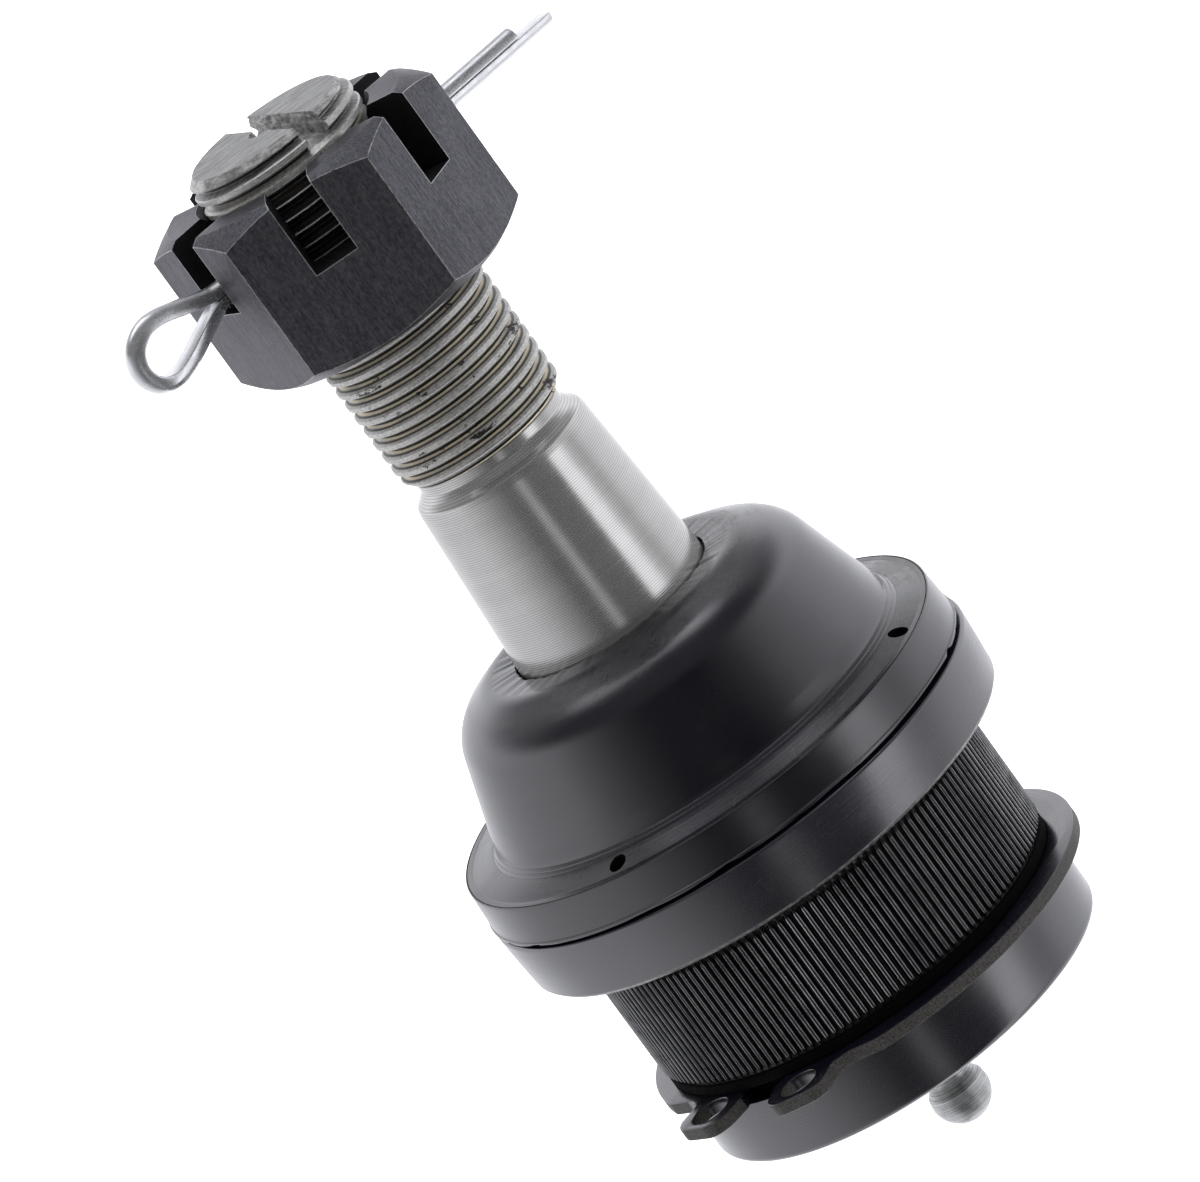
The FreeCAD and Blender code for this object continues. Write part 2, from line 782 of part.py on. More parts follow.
def make_snap_ring():
    body = new_body("snap_ring")
    low = groove_roof - D["ring_thickness"] - D["ring_slack"] / 2
    plan = sketch_on(body, "XY_Plane", "ring_plan")
    disc(plan, ZERO, ZERO, ring_radius)
    place_sketch(plan, height=low)
    doc.recompute()
    pad(body, plan, D["ring_thickness"], "plate")
    half = D["lug_width"] / 2
    corner = D["lug_corner"]
    reach = lug_reach
    scallop = D["ring_waist_scallop"]
    for name, sign in (("left", -1), ("right", 1)):
        waist = sketch_on(body, "XY_Plane", name + "_waist_plan")
        disc(waist, ring_radius - D["ring_waist_depth"] + scallop, ZERO, scallop)
        place_sketch(waist, height=low,
                     angle=D["ring_gap_angle"] + D["ring_waist_swing"] * sign)
        doc.recompute()
        pocket(body, waist, D["ring_thickness"] * 3, name + "_waist", both=True)
    for name, sign in (("left", -1), ("right", 1)):
        swing = D["ring_gap_angle"] + D["lug_swing"] * sign
        lug = sketch_on(body, "XY_Plane", name + "_lug_plan")
        outline(lug, [
            (ring_bore_radius, -half),
            (reach - corner, -half, corner, 1),
            (reach, corner - half),
            (reach, half - corner, corner, 1),
            (reach - corner, half),
            (ring_bore_radius, half),
        ])
        place_sketch(lug, height=low, angle=swing)
        doc.recompute()
        pad(body, lug, D["ring_thickness"], name + "_lug")
        hole = sketch_on(body, "XY_Plane", name + "_hole_plan")
        disc(hole, reach - D["lug_hole_inset"], ZERO, D["lug_hole_radius"])
        place_sketch(hole, height=low, angle=swing)
        doc.recompute()
        pocket(body, hole, D["ring_thickness"] * 3, name + "_hole", both=True)
    bore = sketch_on(body, "XY_Plane", "bore_plan")
    disc(bore, ZERO, ZERO, ring_bore_radius)
    place_sketch(bore, height=low)
    doc.recompute()
    pocket(body, bore, D["ring_thickness"] * 3, "bore", both=True)
    gap = sketch_on(body, "XY_Plane", "gap_plan")
    rectangle(gap, D["ring_gap"], reach + corner, -(D["ring_gap"] / 2), D["ring_gap"] / 2)
    place_sketch(gap, height=low, angle=D["ring_gap_angle"])
    doc.recompute()
    pocket(body, gap, D["ring_thickness"] * 3, "gap", both=True)
    bind(body, "Placement.Base.x", D["ring_shift_x"])
    bind(body, "Placement.Base.y", D["ring_shift_y"])
    return body


# Slotted nut: hexagon with both faces chamfered and six slots, two of them over the split pin

def make_castle_nut():
    body = new_body("castle_nut")
    bore = D["thread_radius"] + D["nut_bore_clearance"]
    half = D["nut_across"] / 2
    corner = D["nut_across"] / size(math.sqrt(3))
    plan = sketch_on(body, "XY_Plane", "hexagon")
    outline(plan, [
        (half, corner / 2), (ZERO, corner), (-half, corner / 2),
        (-half, -(corner / 2)), (ZERO, -corner), (half, -(corner / 2)),
    ])
    disc(plan, ZERO, ZERO, bore)
    place_sketch(plan, height=nut_foot)
    doc.recompute()
    pad(body, plan, D["nut_height"], "blank")
    sink = D["nut_countersink"]
    out = corner + sink
    face = half - D["nut_chamfer_inset"]
    fall = (out - face) * D["nut_chamfer_slope"]
    for name, level, sign in (("top", nut_top, 1), ("bottom", nut_foot, -1)):
        revolve(body, [
            (face, level),
            (out, level - fall * sign),
            (out, level),
        ], label=name + "_chamfer", cut=True)
        revolve(body, [
            (bore - sink / 2, level),
            (bore + sink, level),
            (bore - sink / 2, level - sink * sign * 1.5),
        ], label=name + "_countersink", cut=True)
    slot = sketch_on(body, "XY_Plane", "slot_plan")
    reach = corner + sink
    width = D["nut_slot_width"] / 2
    rectangle(slot, -reach, reach, -width, width)
    place_sketch(slot, height=nut_top)
    doc.recompute()
    seed = pocket(body, slot, D["nut_slot_depth"], "slot")
    around(body, seed, size(3), "slots", turn=360.0)
    turn_about_axis(body, D["pin_angle"])
    return body


# Split pin: half-round wire folded into an eye, with one leg longer than the other

def make_cotter_pin():
    body = new_body("cotter_pin")
    gap = D["pin_split"] / 2
    eye = D["eye_radius"]
    slope = math.radians(SIZES["eye_angle"])
    sine = Size(math.sin(slope), "sin(%s)" % D["eye_angle"].text)
    cosine = Size(math.cos(slope), "cos(%s)" % D["eye_angle"].text)
    touch_x = eye_centre - eye * sine
    touch_y = eye * cosine
    fork = touch_x - (touch_y - gap) * cosine / sine
    bend = D["pin_bend"]
    reach = bend * (size(1) - cosine) / sine
    path = sketch_on(body, "XZ_Plane", "wire_path")
    outline(path, [
        (-pin_long_end, -gap),
        (fork - reach, -gap, bend, -1),
        (fork + reach * cosine, -gap - reach * sine),
        (touch_x, -touch_y, eye, 1),
        (touch_x, touch_y),
        (fork + reach * cosine, gap + reach * sine, bend, -1),
        (fork - reach, gap),
        (-pin_short_end, gap),
    ], closed=False)
    section = sketch_on(body, "YZ_Plane", "wire_section")
    flat = side(D["pin_radius"], gap)
    start = math.atan2(-gap.value, -flat.value) + 2 * math.pi
    stop = math.atan2(-gap.value, flat.value) + 2 * math.pi
    circle = Part.Circle(Vector(0, 0, 0), UP, D["pin_radius"].value)
    arc = section.addGeometry(Part.ArcOfCircle(circle, start, stop))
    left = Vector(-flat.value, -gap.value, 0)
    right = Vector(flat.value, -gap.value, 0)
    line = section.addGeometry(Part.LineSegment(right, left))
    section.addConstraint(Sketcher.Constraint("Coincident", arc, 3, -1, 1))
    section.addConstraint(Sketcher.Constraint("Coincident", arc, 2, line, 1))
    section.addConstraint(Sketcher.Constraint("Coincident", arc, 1, line, 2))
    section.addConstraint(Sketcher.Constraint("Horizontal", line))
    ring = section.addConstraint(Sketcher.Constraint("Radius", arc, D["pin_radius"].value))
    bind(section, "Constraints[%d]" % ring, D["pin_radius"])
    drop = section.addConstraint(Sketcher.Constraint("DistanceY", -1, 1, arc, 1, -gap.value))
    bind(section, "Constraints[%d]" % drop, -gap)
    place_sketch(section, height=-pin_long_end)
    doc.recompute()
    pipe = body.newObject("PartDesign::AdditivePipe", "cotter_pin_wire")
    pipe.Profile = section
    pipe.Spine = (path, [])
    pipe.Transition = "Right corner"
    doc.recompute()
    turn_about_axis(body, D["pin_angle"] + 180)
    bind(body, "Placement.Base.z", pin_z)
    return body


housing = make_housing()
ball_stud = make_ball_stud()
half_ball = make_half_ball_bearing()
plate = make_pressure_plate()
spring = make_disc_spring()
cover = make_cover_plate()
fitting, nose = make_grease_fitting()
check_ball, ball_top = make_check_ball(nose)
check_spring = make_check_spring(ball_top)
boot = make_dust_boot()
base_ring = make_boot_base_ring()
neck_ring = make_boot_neck_ring()
snap_ring = make_snap_ring()
nut = make_castle_nut()
cotter = make_cotter_pin()
doc.recompute()

NODES = [housing, ball_stud, half_ball, plate, spring, cover, fitting, check_ball, check_spring,
         boot, base_ring, neck_ring, snap_ring, nut, cotter]

os.makedirs("parts", exist_ok=True)
for thing in doc.Objects:
    if "Invalid" in thing.State or "Error" in thing.State:
        raise RuntimeError("%s failed: %s" % (thing.Name, thing.State))
for node in NODES:
    shape = node.Shape
    if shape.isNull() or not shape.isValid():
        raise RuntimeError("%s has no valid shape" % node.Label)
    shape.exportStep("parts/%s.step" % node.Label)
    print(node.Label, len(shape.Solids), round(shape.Volume, 2))
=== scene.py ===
import math

import bmesh
import bpy
from mathutils import Matrix, Vector, noise

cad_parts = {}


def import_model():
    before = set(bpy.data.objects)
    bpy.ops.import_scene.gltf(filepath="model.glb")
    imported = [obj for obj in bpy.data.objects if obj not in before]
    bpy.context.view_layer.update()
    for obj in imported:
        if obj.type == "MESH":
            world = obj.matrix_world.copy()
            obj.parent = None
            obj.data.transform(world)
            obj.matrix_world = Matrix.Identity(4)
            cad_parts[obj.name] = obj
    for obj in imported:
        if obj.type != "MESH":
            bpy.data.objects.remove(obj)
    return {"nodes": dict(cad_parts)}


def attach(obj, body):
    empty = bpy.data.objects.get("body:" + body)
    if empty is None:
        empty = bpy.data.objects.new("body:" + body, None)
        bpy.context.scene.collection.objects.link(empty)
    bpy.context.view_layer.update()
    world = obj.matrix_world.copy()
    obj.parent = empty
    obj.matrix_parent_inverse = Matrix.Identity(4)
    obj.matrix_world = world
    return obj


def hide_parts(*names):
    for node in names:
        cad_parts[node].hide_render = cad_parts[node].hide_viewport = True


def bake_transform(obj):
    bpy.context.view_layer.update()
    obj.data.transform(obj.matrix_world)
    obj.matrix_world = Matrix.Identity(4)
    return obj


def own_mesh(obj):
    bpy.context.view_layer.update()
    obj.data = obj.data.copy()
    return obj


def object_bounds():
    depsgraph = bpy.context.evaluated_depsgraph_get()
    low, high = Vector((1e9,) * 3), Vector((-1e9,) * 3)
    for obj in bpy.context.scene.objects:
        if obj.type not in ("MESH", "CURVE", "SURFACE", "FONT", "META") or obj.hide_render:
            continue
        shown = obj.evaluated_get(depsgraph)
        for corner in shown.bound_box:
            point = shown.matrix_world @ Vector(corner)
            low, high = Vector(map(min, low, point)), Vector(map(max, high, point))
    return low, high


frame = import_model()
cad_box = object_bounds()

# Press-in suspension ball joint. Sizes are in millimetres and turned into metres by MM.
# +Z runs along the stud axis towards the nut; the origin lies in the flange's underside.

MM = 0.001
TURN = 2 * math.pi

# stud
THREAD_PITCH = 1.5875
THREAD_RADIUS = 9.45
THREAD_DEPTH = 0.93
THREAD_FOOT = 49.0
THREAD_FULL = 50.2
THREAD_ROOT_LEVEL = 48.2535
TAPER_TOP = 45.8
TAPER_TOP_RADIUS = 9.85
TAPER_SLOPE = 0.0625
TAPER_FOOT = 21.6
GRINDING_STEP = 0.24
STUD_END = 86.9
STUD_CHAMFER = 1.05
BALL_CENTRE = -2.9
BALL_RADIUS = 15.5
BALL_FLAT = 14.6
PIN_ANGLE = math.radians(22.9)
PIN_HOLE_RADIUS = 1.75
PIN_LEVEL = 77.1
END_SLOT_WIDTH = 2.8
END_SLOT_DEPTH = 2.6
END_SLOT_OFFSET = 0.84
END_SLOT_ANGLE = math.radians(109.5)
THREAD_START = THREAD_ROOT_LEVEL - THREAD_PITCH * PIN_ANGLE / TURN

# nut
NUT_ACROSS = 28.575
NUT_FOOT = 65.4
NUT_HEIGHT = 18.2
NUT_CHAMFER_RADIUS = 13.6
NUT_SLOT_WIDTH = 4.76
NUT_SLOT_DEPTH = 8.5
NUT_TOP = NUT_FOOT + NUT_HEIGHT
NUT_SLOT_FLOOR = NUT_TOP - NUT_SLOT_DEPTH

# split pin
PIN_RADIUS = 1.33
PIN_SHORT = 27.2
PIN_LONG = 31.5

# pressed body
FLANGE_TOP = 6.8
KNURL_TEETH = 154
KNURL_CREST = 22.9
KNURL_ROOT = 22.4
KNURL_TOP = -0.9
KNURL_FOOT = -15.4
PILOT_RADIUS = 22.7
GROOVE_TOP = -16.6
GROOVE_FOOT = -18.2
GROOVE_RADIUS = 20.9
BODY_FOOT = -25.6
COVER_FOOT = -27.6

# boot
RIM_FOOT = 7.1
RIM_TOP = 11.87
RIM_LINE = 27.41
BELL_RADIUS = 22.9
BELL_SEAM = 19.0
SEAM_RADIUS = 21.7
BOOT_WALL = 2.2
LIP_FOOT = 23.4
BOOT_TOP = 27.45
VENT_CIRCLE = 25.5
VENT_RADIUS = 1.0
VENT_FLOOR = 10.95
VENT_ANGLES = (57, 147, 237, 327)

# seat of the boot's rim, which isn't quite true: how far its foot and its top sit aside in X, the
# top's rise per mm in Y, and the radius inside which it is true
RIM_ASIDE_FOOT = -0.2
RIM_ASIDE_TOP = -0.26
RIM_TIP = 0.0153
RIM_TRUE = 24.1

# snap ring
RING_LOW = -18.1
RING_THICKNESS = 1.4
RING_RADIUS = 25.1
RING_BORE = 21.8
RING_SHIFT = (0.6, -0.35)
RING_GAP_ANGLE = -134.5
RING_GAP = 6.0
LUG_SWING = 14.0
LUG_WIDTH = 7.0
LUG_REACH = 28.2
LUG_HOLE_CIRCLE = 25.4
LUG_HOLE_RADIUS = 2.05

# camera, solved from the photograph
CAMERA_PLACE = (0.0, -853.5, 272.3)
CAMERA_AIM = (0.17, 0.0, 29.2)
CAMERA_ROLL = math.radians(-35.86)
CAMERA_LENS = 270.0

# light
WORLD_LEVEL = 0.45
FLOOR_GLOW = 0.72


# Shapes

def arc(centre, radius, start, stop, steps):
    """Points on an arc between two angles in degrees."""
    points = []
    for i in range(steps + 1):
        angle = math.radians(start + (stop - start) * i / steps)
        points.append((centre[0] + radius * math.cos(angle), centre[1] + radius * math.sin(angle)))
    return points


def rounded(corners, steps=5):
    """Turns corners (x, y) or (x, y, fillet radius) into points with the corners rounded."""
    points = []
    for i, corner in enumerate(corners):
        here = Vector(corner[:2])
        if len(corner) == 2 or i in (0, len(corners) - 1):
            points.append(tuple(here))
            continue
        before = Vector(corners[i - 1][:2]) - here
        after = Vector(corners[i + 1][:2]) - here
        half = before.angle(after) / 2
        reach = min(corner[2] / math.tan(half), before.length * 0.49, after.length * 0.49)
        radius = reach * math.tan(half)
        start = here + before.normalized() * reach
        stop = here + after.normalized() * reach
        middle = before.normalized() + after.normalized()
        centre = here + middle.normalized() * (radius / math.sin(half))
        for k in range(steps + 1):
            spoke = (start - centre).lerp(stop - centre, k / steps).normalized() * radius
            points.append(tuple(centre + spoke))
    return points


def make_object(name, vertices, faces, sharp=35):
    mesh = bpy.data.meshes.new(name)
    mesh.from_pydata([Vector(v) * MM for v in vertices], [], faces)
    mesh.validate()
    return link(name, mesh, sharp)


def shade_mesh(mesh, sharp):
    """Smooth, but for the edges that turn by more than sharp degrees."""
    mesh.shade_smooth()
    mesh.set_sharp_from_angle(angle=math.radians(sharp))


def link(name, mesh, sharp=35):
    shade_mesh(mesh, sharp)
    obj = bpy.data.objects.new(name, mesh)
    bpy.context.scene.collection.objects.link(obj)
    return obj


def turned(name, profile, columns, closed=False, wobble=None):
    """Turns a profile of (radius, z) about the axis. wobble moves a point before it is placed."""
    vertices = []
    rings = []
    for radius, z in profile:
        if radius < 1e-6:
            rings.append([len(vertices)])
            vertices.append((0, 0, z))
            continue
        ring = []
        for i in range(columns):
            angle = TURN * i / columns
            r, h = (radius, z) if wobble is None else wobble(angle, radius, z)
            ring.append(len(vertices))
            vertices.append((r * math.cos(angle), r * math.sin(angle), h))
        rings.append(ring)
    faces = []
    pairs = list(zip(rings, rings[1:]))
    if closed:
        pairs.append((rings[-1], rings[0]))
    for low, high in pairs:
        for i in range(columns):
            k = (i + 1) % columns
            face = list(dict.fromkeys([low[i % len(low)], low[k % len(low)],
                                       high[k % len(high)], high[i % len(high)]]))
            if len(face) > 2:
                faces.append(face)
    return make_object(name, vertices, faces)


def settle(obj, sharp=35):
    """Bakes an object's modifiers into its mesh."""
    bpy.context.view_layer.update()
    graph = bpy.context.evaluated_depsgraph_get()
    mesh = bpy.data.meshes.new_from_object(obj.evaluated_get(graph))
    obj.modifiers.clear()
    obj.data = mesh
    shade_mesh(mesh, sharp)
    return obj


def cut(obj, tools, operation="DIFFERENCE", sharp=35):
    for tool in tools:
        modifier = obj.modifiers.new("cut", "BOOLEAN")
        modifier.operation = operation
        modifier.object = tool
        modifier.solver = "EXACT"
    settle(obj, sharp)
    for tool in tools:
        bpy.data.objects.remove(tool, do_unlink=True)
    return obj


def block(name, low, high, angle=0.0):
    """A box between two corners, turned about the axis."""
    x0, y0, z0 = low
    x1, y1, z1 = high
    corners = [(x, y, z) for z in (z0, z1) for x, y in ((x0, y0), (x1, y0), (x1, y1), (x0, y1))]
    spin = Matrix.Rotation(angle, 3, "Z")
    faces = [(3, 2, 1, 0), (4, 5, 6, 7), (0, 1, 5, 4), (1, 2, 6, 5), (2, 3, 7, 6), (3, 0, 4, 7)]
    return make_object(name, [spin @ Vector(c) for c in corners], faces)


def edit_mesh(obj, change):
    """Lets change(mesh being edited) alter an object's mesh."""
    work = bmesh.new()
    work.from_mesh(obj.data)
    change(work)
    work.to_mesh(obj.data)
    work.free()
    return obj


def face_normals_out(obj):
    """Points every face outwards."""
    return edit_mesh(obj, lambda work: bmesh.ops.recalc_face_normals(work, faces=work.faces))


def roughen(obj, cuts, amount):
    """Divides a block's faces and moves their points a little, so that what it cuts looks sawn."""
    def change(work):
        bmesh.ops.subdivide_edges(work, edges=work.edges[:], cuts=cuts, use_grid_fill=True)
        for vertex in work.verts:
            place = vertex.co / MM
            vertex.co += noise.noise_vector(place * 1.7) * amount * MM
            vertex.co += noise.noise_vector(place * 5.1) * amount * 0.4 * MM

    edit_mesh(obj, change)


def bevelled(obj, width, segments, least, sharp):
    """Rounds the edges that turn by more than least degrees."""
    bevel = obj.modifiers.new("bevel", "BEVEL")
    bevel.width = width * MM
    bevel.segments = segments
    bevel.limit_method = "ANGLE"
    bevel.angle_limit = math.radians(least)
    return settle(obj, sharp)


def prism(name, low, high):
    """A solid between two rings with the same number of points."""
    size = len(low)
    faces = [(i, (i + 1) % size, size + (i + 1) % size, size + i) for i in range(size)]
    faces += [tuple(reversed(range(size))), tuple(range(size, 2 * size))]
    return make_object(name, low + high, faces)


def hexagon(name, across, foot, top, angles):
    """A six-sided bar, across wide over its flats, with its corners at angles."""
    corner = across / math.sqrt(3)
    return prism(name, *([(corner * math.cos(angle), corner * math.sin(angle), z)
                          for angle in angles] for z in (foot, top)))


def rod(name, radius, start, stop, columns=48):
    """A round bar between two points."""
    start, stop = Vector(start), Vector(stop)
    axis = (stop - start).normalized()
    across = axis.orthogonal().normalized()
    other = axis.cross(across)
    spokes = [across * math.cos(TURN * i / columns) + other * math.sin(TURN * i / columns)
              for i in range(columns)]
    return prism(name, *([place + spoke * radius for spoke in spokes] for place in (start, stop)))


def swept(name, path, section, out_of_plane, depth, sharp=35):
    """Carries a closed section (across, outward) along a path that stays in one plane.
    depth(place) stretches the section outwards."""
    vertices = []
    for i, place in enumerate(path):
        ahead = path[min(i + 1, len(path) - 1)] - path[max(i - 1, 0)]
        outward = out_of_plane.cross(ahead.normalized())
        for across, out in section:
            vertices.append(place + out_of_plane * across + outward * out * depth(place))
    size = len(section)
    faces = []
    for i in range(len(path) - 1):
        for j in range(size):
            k = (j + 1) % size
            faces.append((i * size + j, i * size + k, (i + 1) * size + k, (i + 1) * size + j))
    faces.append(tuple(range(size)))
    faces.append(tuple(reversed(range((len(path) - 1) * size, len(path) * size))))
    return make_object(name, vertices, faces, sharp)


def paint_faces(obj, materials, choose):
    """Gives an object its materials; choose(centre in mm, normal) returns a face's slot."""
    obj.data.materials.clear()
    for material in materials:
        obj.data.materials.append(material)
    for face in obj.data.polygons:
        face.material_index = choose(face.center / MM, face.normal)


def paint(obj, material):
    """Gives an object one material and returns it."""
    paint_faces(obj, [material], lambda at, normal: 0)
    return obj


# Materials

def fill(tree, node, inputs):
    """Gives a node's sockets, named or numbered, a value or a link. Returns the node's outputs."""
    for name, value in inputs.items():
        if isinstance(value, bpy.types.NodeSocket):
            tree.links.new(value, node.inputs[name])
        else:
            node.inputs[name].default_value = value
    return node.outputs


def add_node(tree, kind, inputs=None):
    return fill(tree, tree.nodes.new(kind), inputs or {})


def calculated(tree, kind, operation, *values):
    node = tree.nodes.new(kind)
    node.operation = operation
    return fill(tree, node, dict(enumerate(values)))


def mixed(tree, factor, a, b):
    """a where factor is 0 and b where it is 1; a plain colour is (red, green, blue)."""
    a, b = (value + (1.0,) if isinstance(value, tuple) else value for value in (a, b))
    node = tree.nodes.new("ShaderNodeMix")
    node.data_type = "RGBA"
    return fill(tree, node, {"Factor": factor, "A": a, "B": b})["Result"]


def fresh_tree(owner):
    """An empty node tree for a material or a world."""
    owner.use_nodes = True
    owner.node_tree.nodes.clear()
    return owner.node_tree


class Finish:
    """One procedural material. Textures use the object's own coordinates, in metres."""

    def __init__(self, name, metallic=0.0, specular=0.5, index=1.5):
        self.material = bpy.data.materials.new(name)
        self.tree = fresh_tree(self.material)
        output = self.tree.nodes.new("ShaderNodeOutputMaterial")
        self.shader = self.tree.nodes.new("ShaderNodeBsdfPrincipled")
        fill(self.tree, self.shader, {"Metallic": metallic, "Specular IOR Level": specular,
                                      "IOR": index})
        self.tree.links.new(self.shader.outputs[0], output.inputs[0])
        self.place = self.add("ShaderNodeTexCoord")["Object"]

    def add(self, kind, inputs=None):
        return add_node(self.tree, kind, inputs)

    def set(self, name, value):
        fill(self.tree, self.shader, {name: value})

    def vector_math(self, operation, *values):
        return calculated(self.tree, "ShaderNodeVectorMath", operation, *values)

    def math(self, operation, a, b=0.0):
        return calculated(self.tree, "ShaderNodeMath", operation, a, b)[0]

    def plus(self, a, b):
        return self.math("ADD", a, b)

    def times(self, a, b):
        return self.math("MULTIPLY", a, b)

    def most(self, a, b):
        return self.math("MAXIMUM", a, b)

    def less(self, value, share):
        """value, taken away where share is 1."""
        return self.times(value, self.math("SUBTRACT", 1.0, share))

    def mix(self, factor, a, b):
        return mixed(self.tree, factor, a, b)

    def span(self, value, low, high, new_low=0.0, new_high=1.0):
        """Maps low..high onto new_low..new_high, clamped and smooth."""
        node = self.tree.nodes.new("ShaderNodeMapRange")
        node.interpolation_type = "SMOOTHSTEP"
        return fill(self.tree, node, {"Value": value, "From Min": low, "From Max": high,
                                      "To Min": new_low, "To Max": new_high})["Result"]

    def band(self, value, rise, full, fade, end):
        """1 between full and fade, 0 below rise and above end."""
        return self.times(self.span(value, rise, full), self.span(value, fade, end, 1.0, 0.0))

    def stretched(self, scale):
        return self.vector_math("MULTIPLY", self.place, scale)[0]

    def texture(self, place, detail, roughness):
        return self.add("ShaderNodeTexNoise", {"Vector": place, "Scale": 1.0, "Detail": detail,
                                               "Roughness": roughness})["Fac"]

    def noise(self, scale, detail=3.0, roughness=0.55):
        """Noise whose grain is 1 / scale metres; scale may differ per axis."""
        if not isinstance(scale, tuple):
            scale = (scale, scale, scale)
        return self.texture(self.stretched(scale), detail, roughness)

    def turned_noise(self, across, along, detail=3.0, roughness=0.55):
        """Noise that runs round the stud axis unbroken, as tool marks and mould lines do."""
        place = self.add("ShaderNodeCombineXYZ", {0: self.times(self.radius(), across),
                                                  1: self.times(self.level(), along)})
        return self.texture(place[0], detail, roughness)

    def thread_share(self):
        """Share of the thread's pitch on the helix: 0 in the root, 0.5 on the crest."""
        turn = self.math("DIVIDE", self.math("ARCTAN2", self.axis("Y"), self.axis("X")), TURN)
        rise = self.math("DIVIDE", self.math("SUBTRACT", self.level(), THREAD_START), THREAD_PITCH)
        return self.math("FRACT", self.plus(self.math("SUBTRACT", rise, turn), 8.0))

    def axis(self, name):
        return self.add("ShaderNodeSeparateXYZ", {0: self.place})[name]

    def radius(self):
        """Distance from the stud axis, in millimetres."""
        return self.vector_math("LENGTH", self.stretched((1 / MM, 1 / MM, 0.0)))["Value"]

    def level(self):
        """Height along the stud axis, in millimetres."""
        return self.times(self.axis("Z"), 1 / MM)

    def facing(self, direction):
        """How far the surface faces a direction of the object, 0 to 1."""
        normal = self.add("ShaderNodeTexCoord")["Normal"]
        along = self.vector_math("DOT_PRODUCT", normal, direction)["Value"]
        return self.most(along, 0.0)

    def near_edge(self, width, shallow=0.985, steep=0.92, ragged=0.0):
        """1 on an edge, falling to 0 at a distance of width from it; ragged breaks the line up."""
        soft = self.tree.nodes.new("ShaderNodeBevel")
        soft.samples = 6
        soft.inputs["Radius"].default_value = width * MM
        plain = self.add("ShaderNodeNewGeometry")["Normal"]
        alike = self.vector_math("DOT_PRODUCT", soft.outputs[0], plain)["Value"]
        gaps = self.span(self.noise(1500, detail=4, roughness=0.7), 0.46, 0.62, 0.0, ragged)
        return self.span(self.plus(alike, gaps), steep, shallow, 1.0, 0.0)

    def done(self, colour, roughness, relief, distance, strength):
        """The material, with a relief of distance metres."""
        bump = self.add("ShaderNodeBump", {"Strength": strength, "Distance": distance,
                                           "Height": relief})
        fill(self.tree, self.shader, {"Base Color": colour, "Roughness": roughness,
                                      "Normal": bump[0]})
        return self.material


def ground_steel():
    """Bright steel, ground round the axis in fine even lines."""
    f = Finish("ground_steel", metallic=0.86)
    line = f.math("SINE", f.times(f.level(), TURN / GRINDING_STEP))
    broken = f.noise((60, 60, 5200), roughness=0.7)
    bands = f.turned_noise(0.0, 0.45, detail=2)
    smear = f.noise(70)
    mark = f.plus(f.plus(f.times(line, 0.30), f.times(broken, 0.35)), f.times(bands, 0.4))
    f.set("Specular Tint", (0.78, 0.78, 0.78, 1.0))
    return f.done(f.mix(f.span(mark, 0.0, 0.75), (0.44, 0.435, 0.425), (0.585, 0.58, 0.565)),
                  f.span(f.plus(broken, smear), 0.7, 1.3, 0.13, 0.21), line, 0.000006, 0.2)


def thread_steel():
    """Rolled thread with grey grainy crests, painted along the helix with light and shade: a bright
    painted highlight on each crest, a dark line of painted shade and a golden painted glint on each
    upper flank, and black painted shade in the roots. Inside the nut's slots the thread is painted
    in shade, but for the crests and the glints."""
    f = Finish("thread_steel")
    patches = f.noise(300, detail=4)
    grain = f.noise((2600, 2600, 5200), detail=5, roughness=0.8)
    share = f.plus(f.thread_share(), f.times(f.math("SUBTRACT", patches, 0.5), 0.035))
    level = f.level()
    lower = f.span(level, STUD_END - 4.5, STUD_END - 2.5, 1.0, 0.0)
    # Painted shade and painted glint by the helix: a dark line and a golden glint on each upper
    # flank.
    painted_shade_line = f.times(f.band(share, 0.745, 0.77, 0.82, 0.845), lower)
    painted_glint_line = f.times(f.band(share, 0.845, 0.865, 0.915, 0.935), lower)
    # Painted shade: the roots are black.
    root = f.most(f.band(share, 0.93, 0.95, 1.2, 1.3), f.band(share, -0.3, -0.2, 0.06, 0.16))
    # Where the thread shows inside the nut's slots.
    sunk = f.times(f.span(level, NUT_SLOT_FLOOR - 0.6, NUT_SLOT_FLOOR),
                   f.span(level, NUT_TOP - 1.2, NUT_TOP, 1.0, 0.0))
    # Painted highlight: a bright line on each crest, wider inside the slots.
    painted_crest_highlight = f.most(f.band(share, 0.285, 0.315, 0.335, 0.365),
                        f.times(sunk, f.band(share, 0.23, 0.27, 0.37, 0.41)))
    tar = f.span(f.noise((190, 190, 420), detail=5, roughness=0.8), 0.60, 0.64)
    tar = f.less(tar, f.times(painted_crest_highlight, 0.6))
    painted_glint = f.less(f.times(painted_glint_line, f.span(patches, 0.3, 0.6, 0.55, 1.0)), f.times(sunk, 0.6))
    # Painted shade over the thread inside the slots, but for the highlights and glints.
    shade = f.less(sunk, f.most(painted_crest_highlight, painted_glint))
    # Everything painted dark: the painted shade lines, roots and slots, and the tar spots.
    dark = f.most(f.most(f.times(painted_shade_line, 0.85), root), f.most(tar, shade))
    clean = f.mix(f.span(grain, 0.3, 0.7), (0.31, 0.305, 0.292), (0.68, 0.67, 0.645))
    clean = f.mix(painted_crest_highlight, clean, (0.86, 0.86, 0.86))
    with_painted_glint = f.mix(painted_glint, clean, (0.74, 0.64, 0.46))
    f.set("Metallic", f.span(f.most(painted_glint, painted_crest_highlight), 0.0, 1.0, 0.84, 0.3))
    gloss = f.times(f.span(grain, 0.3, 0.7, 0.38, 0.52), f.span(lower, 0.0, 1.0, 0.72, 1.0))
    return f.done(f.mix(f.times(dark, 0.96), with_painted_glint, (0.022, 0.019, 0.016)), gloss,
                  grain, 0.00007, 0.55)


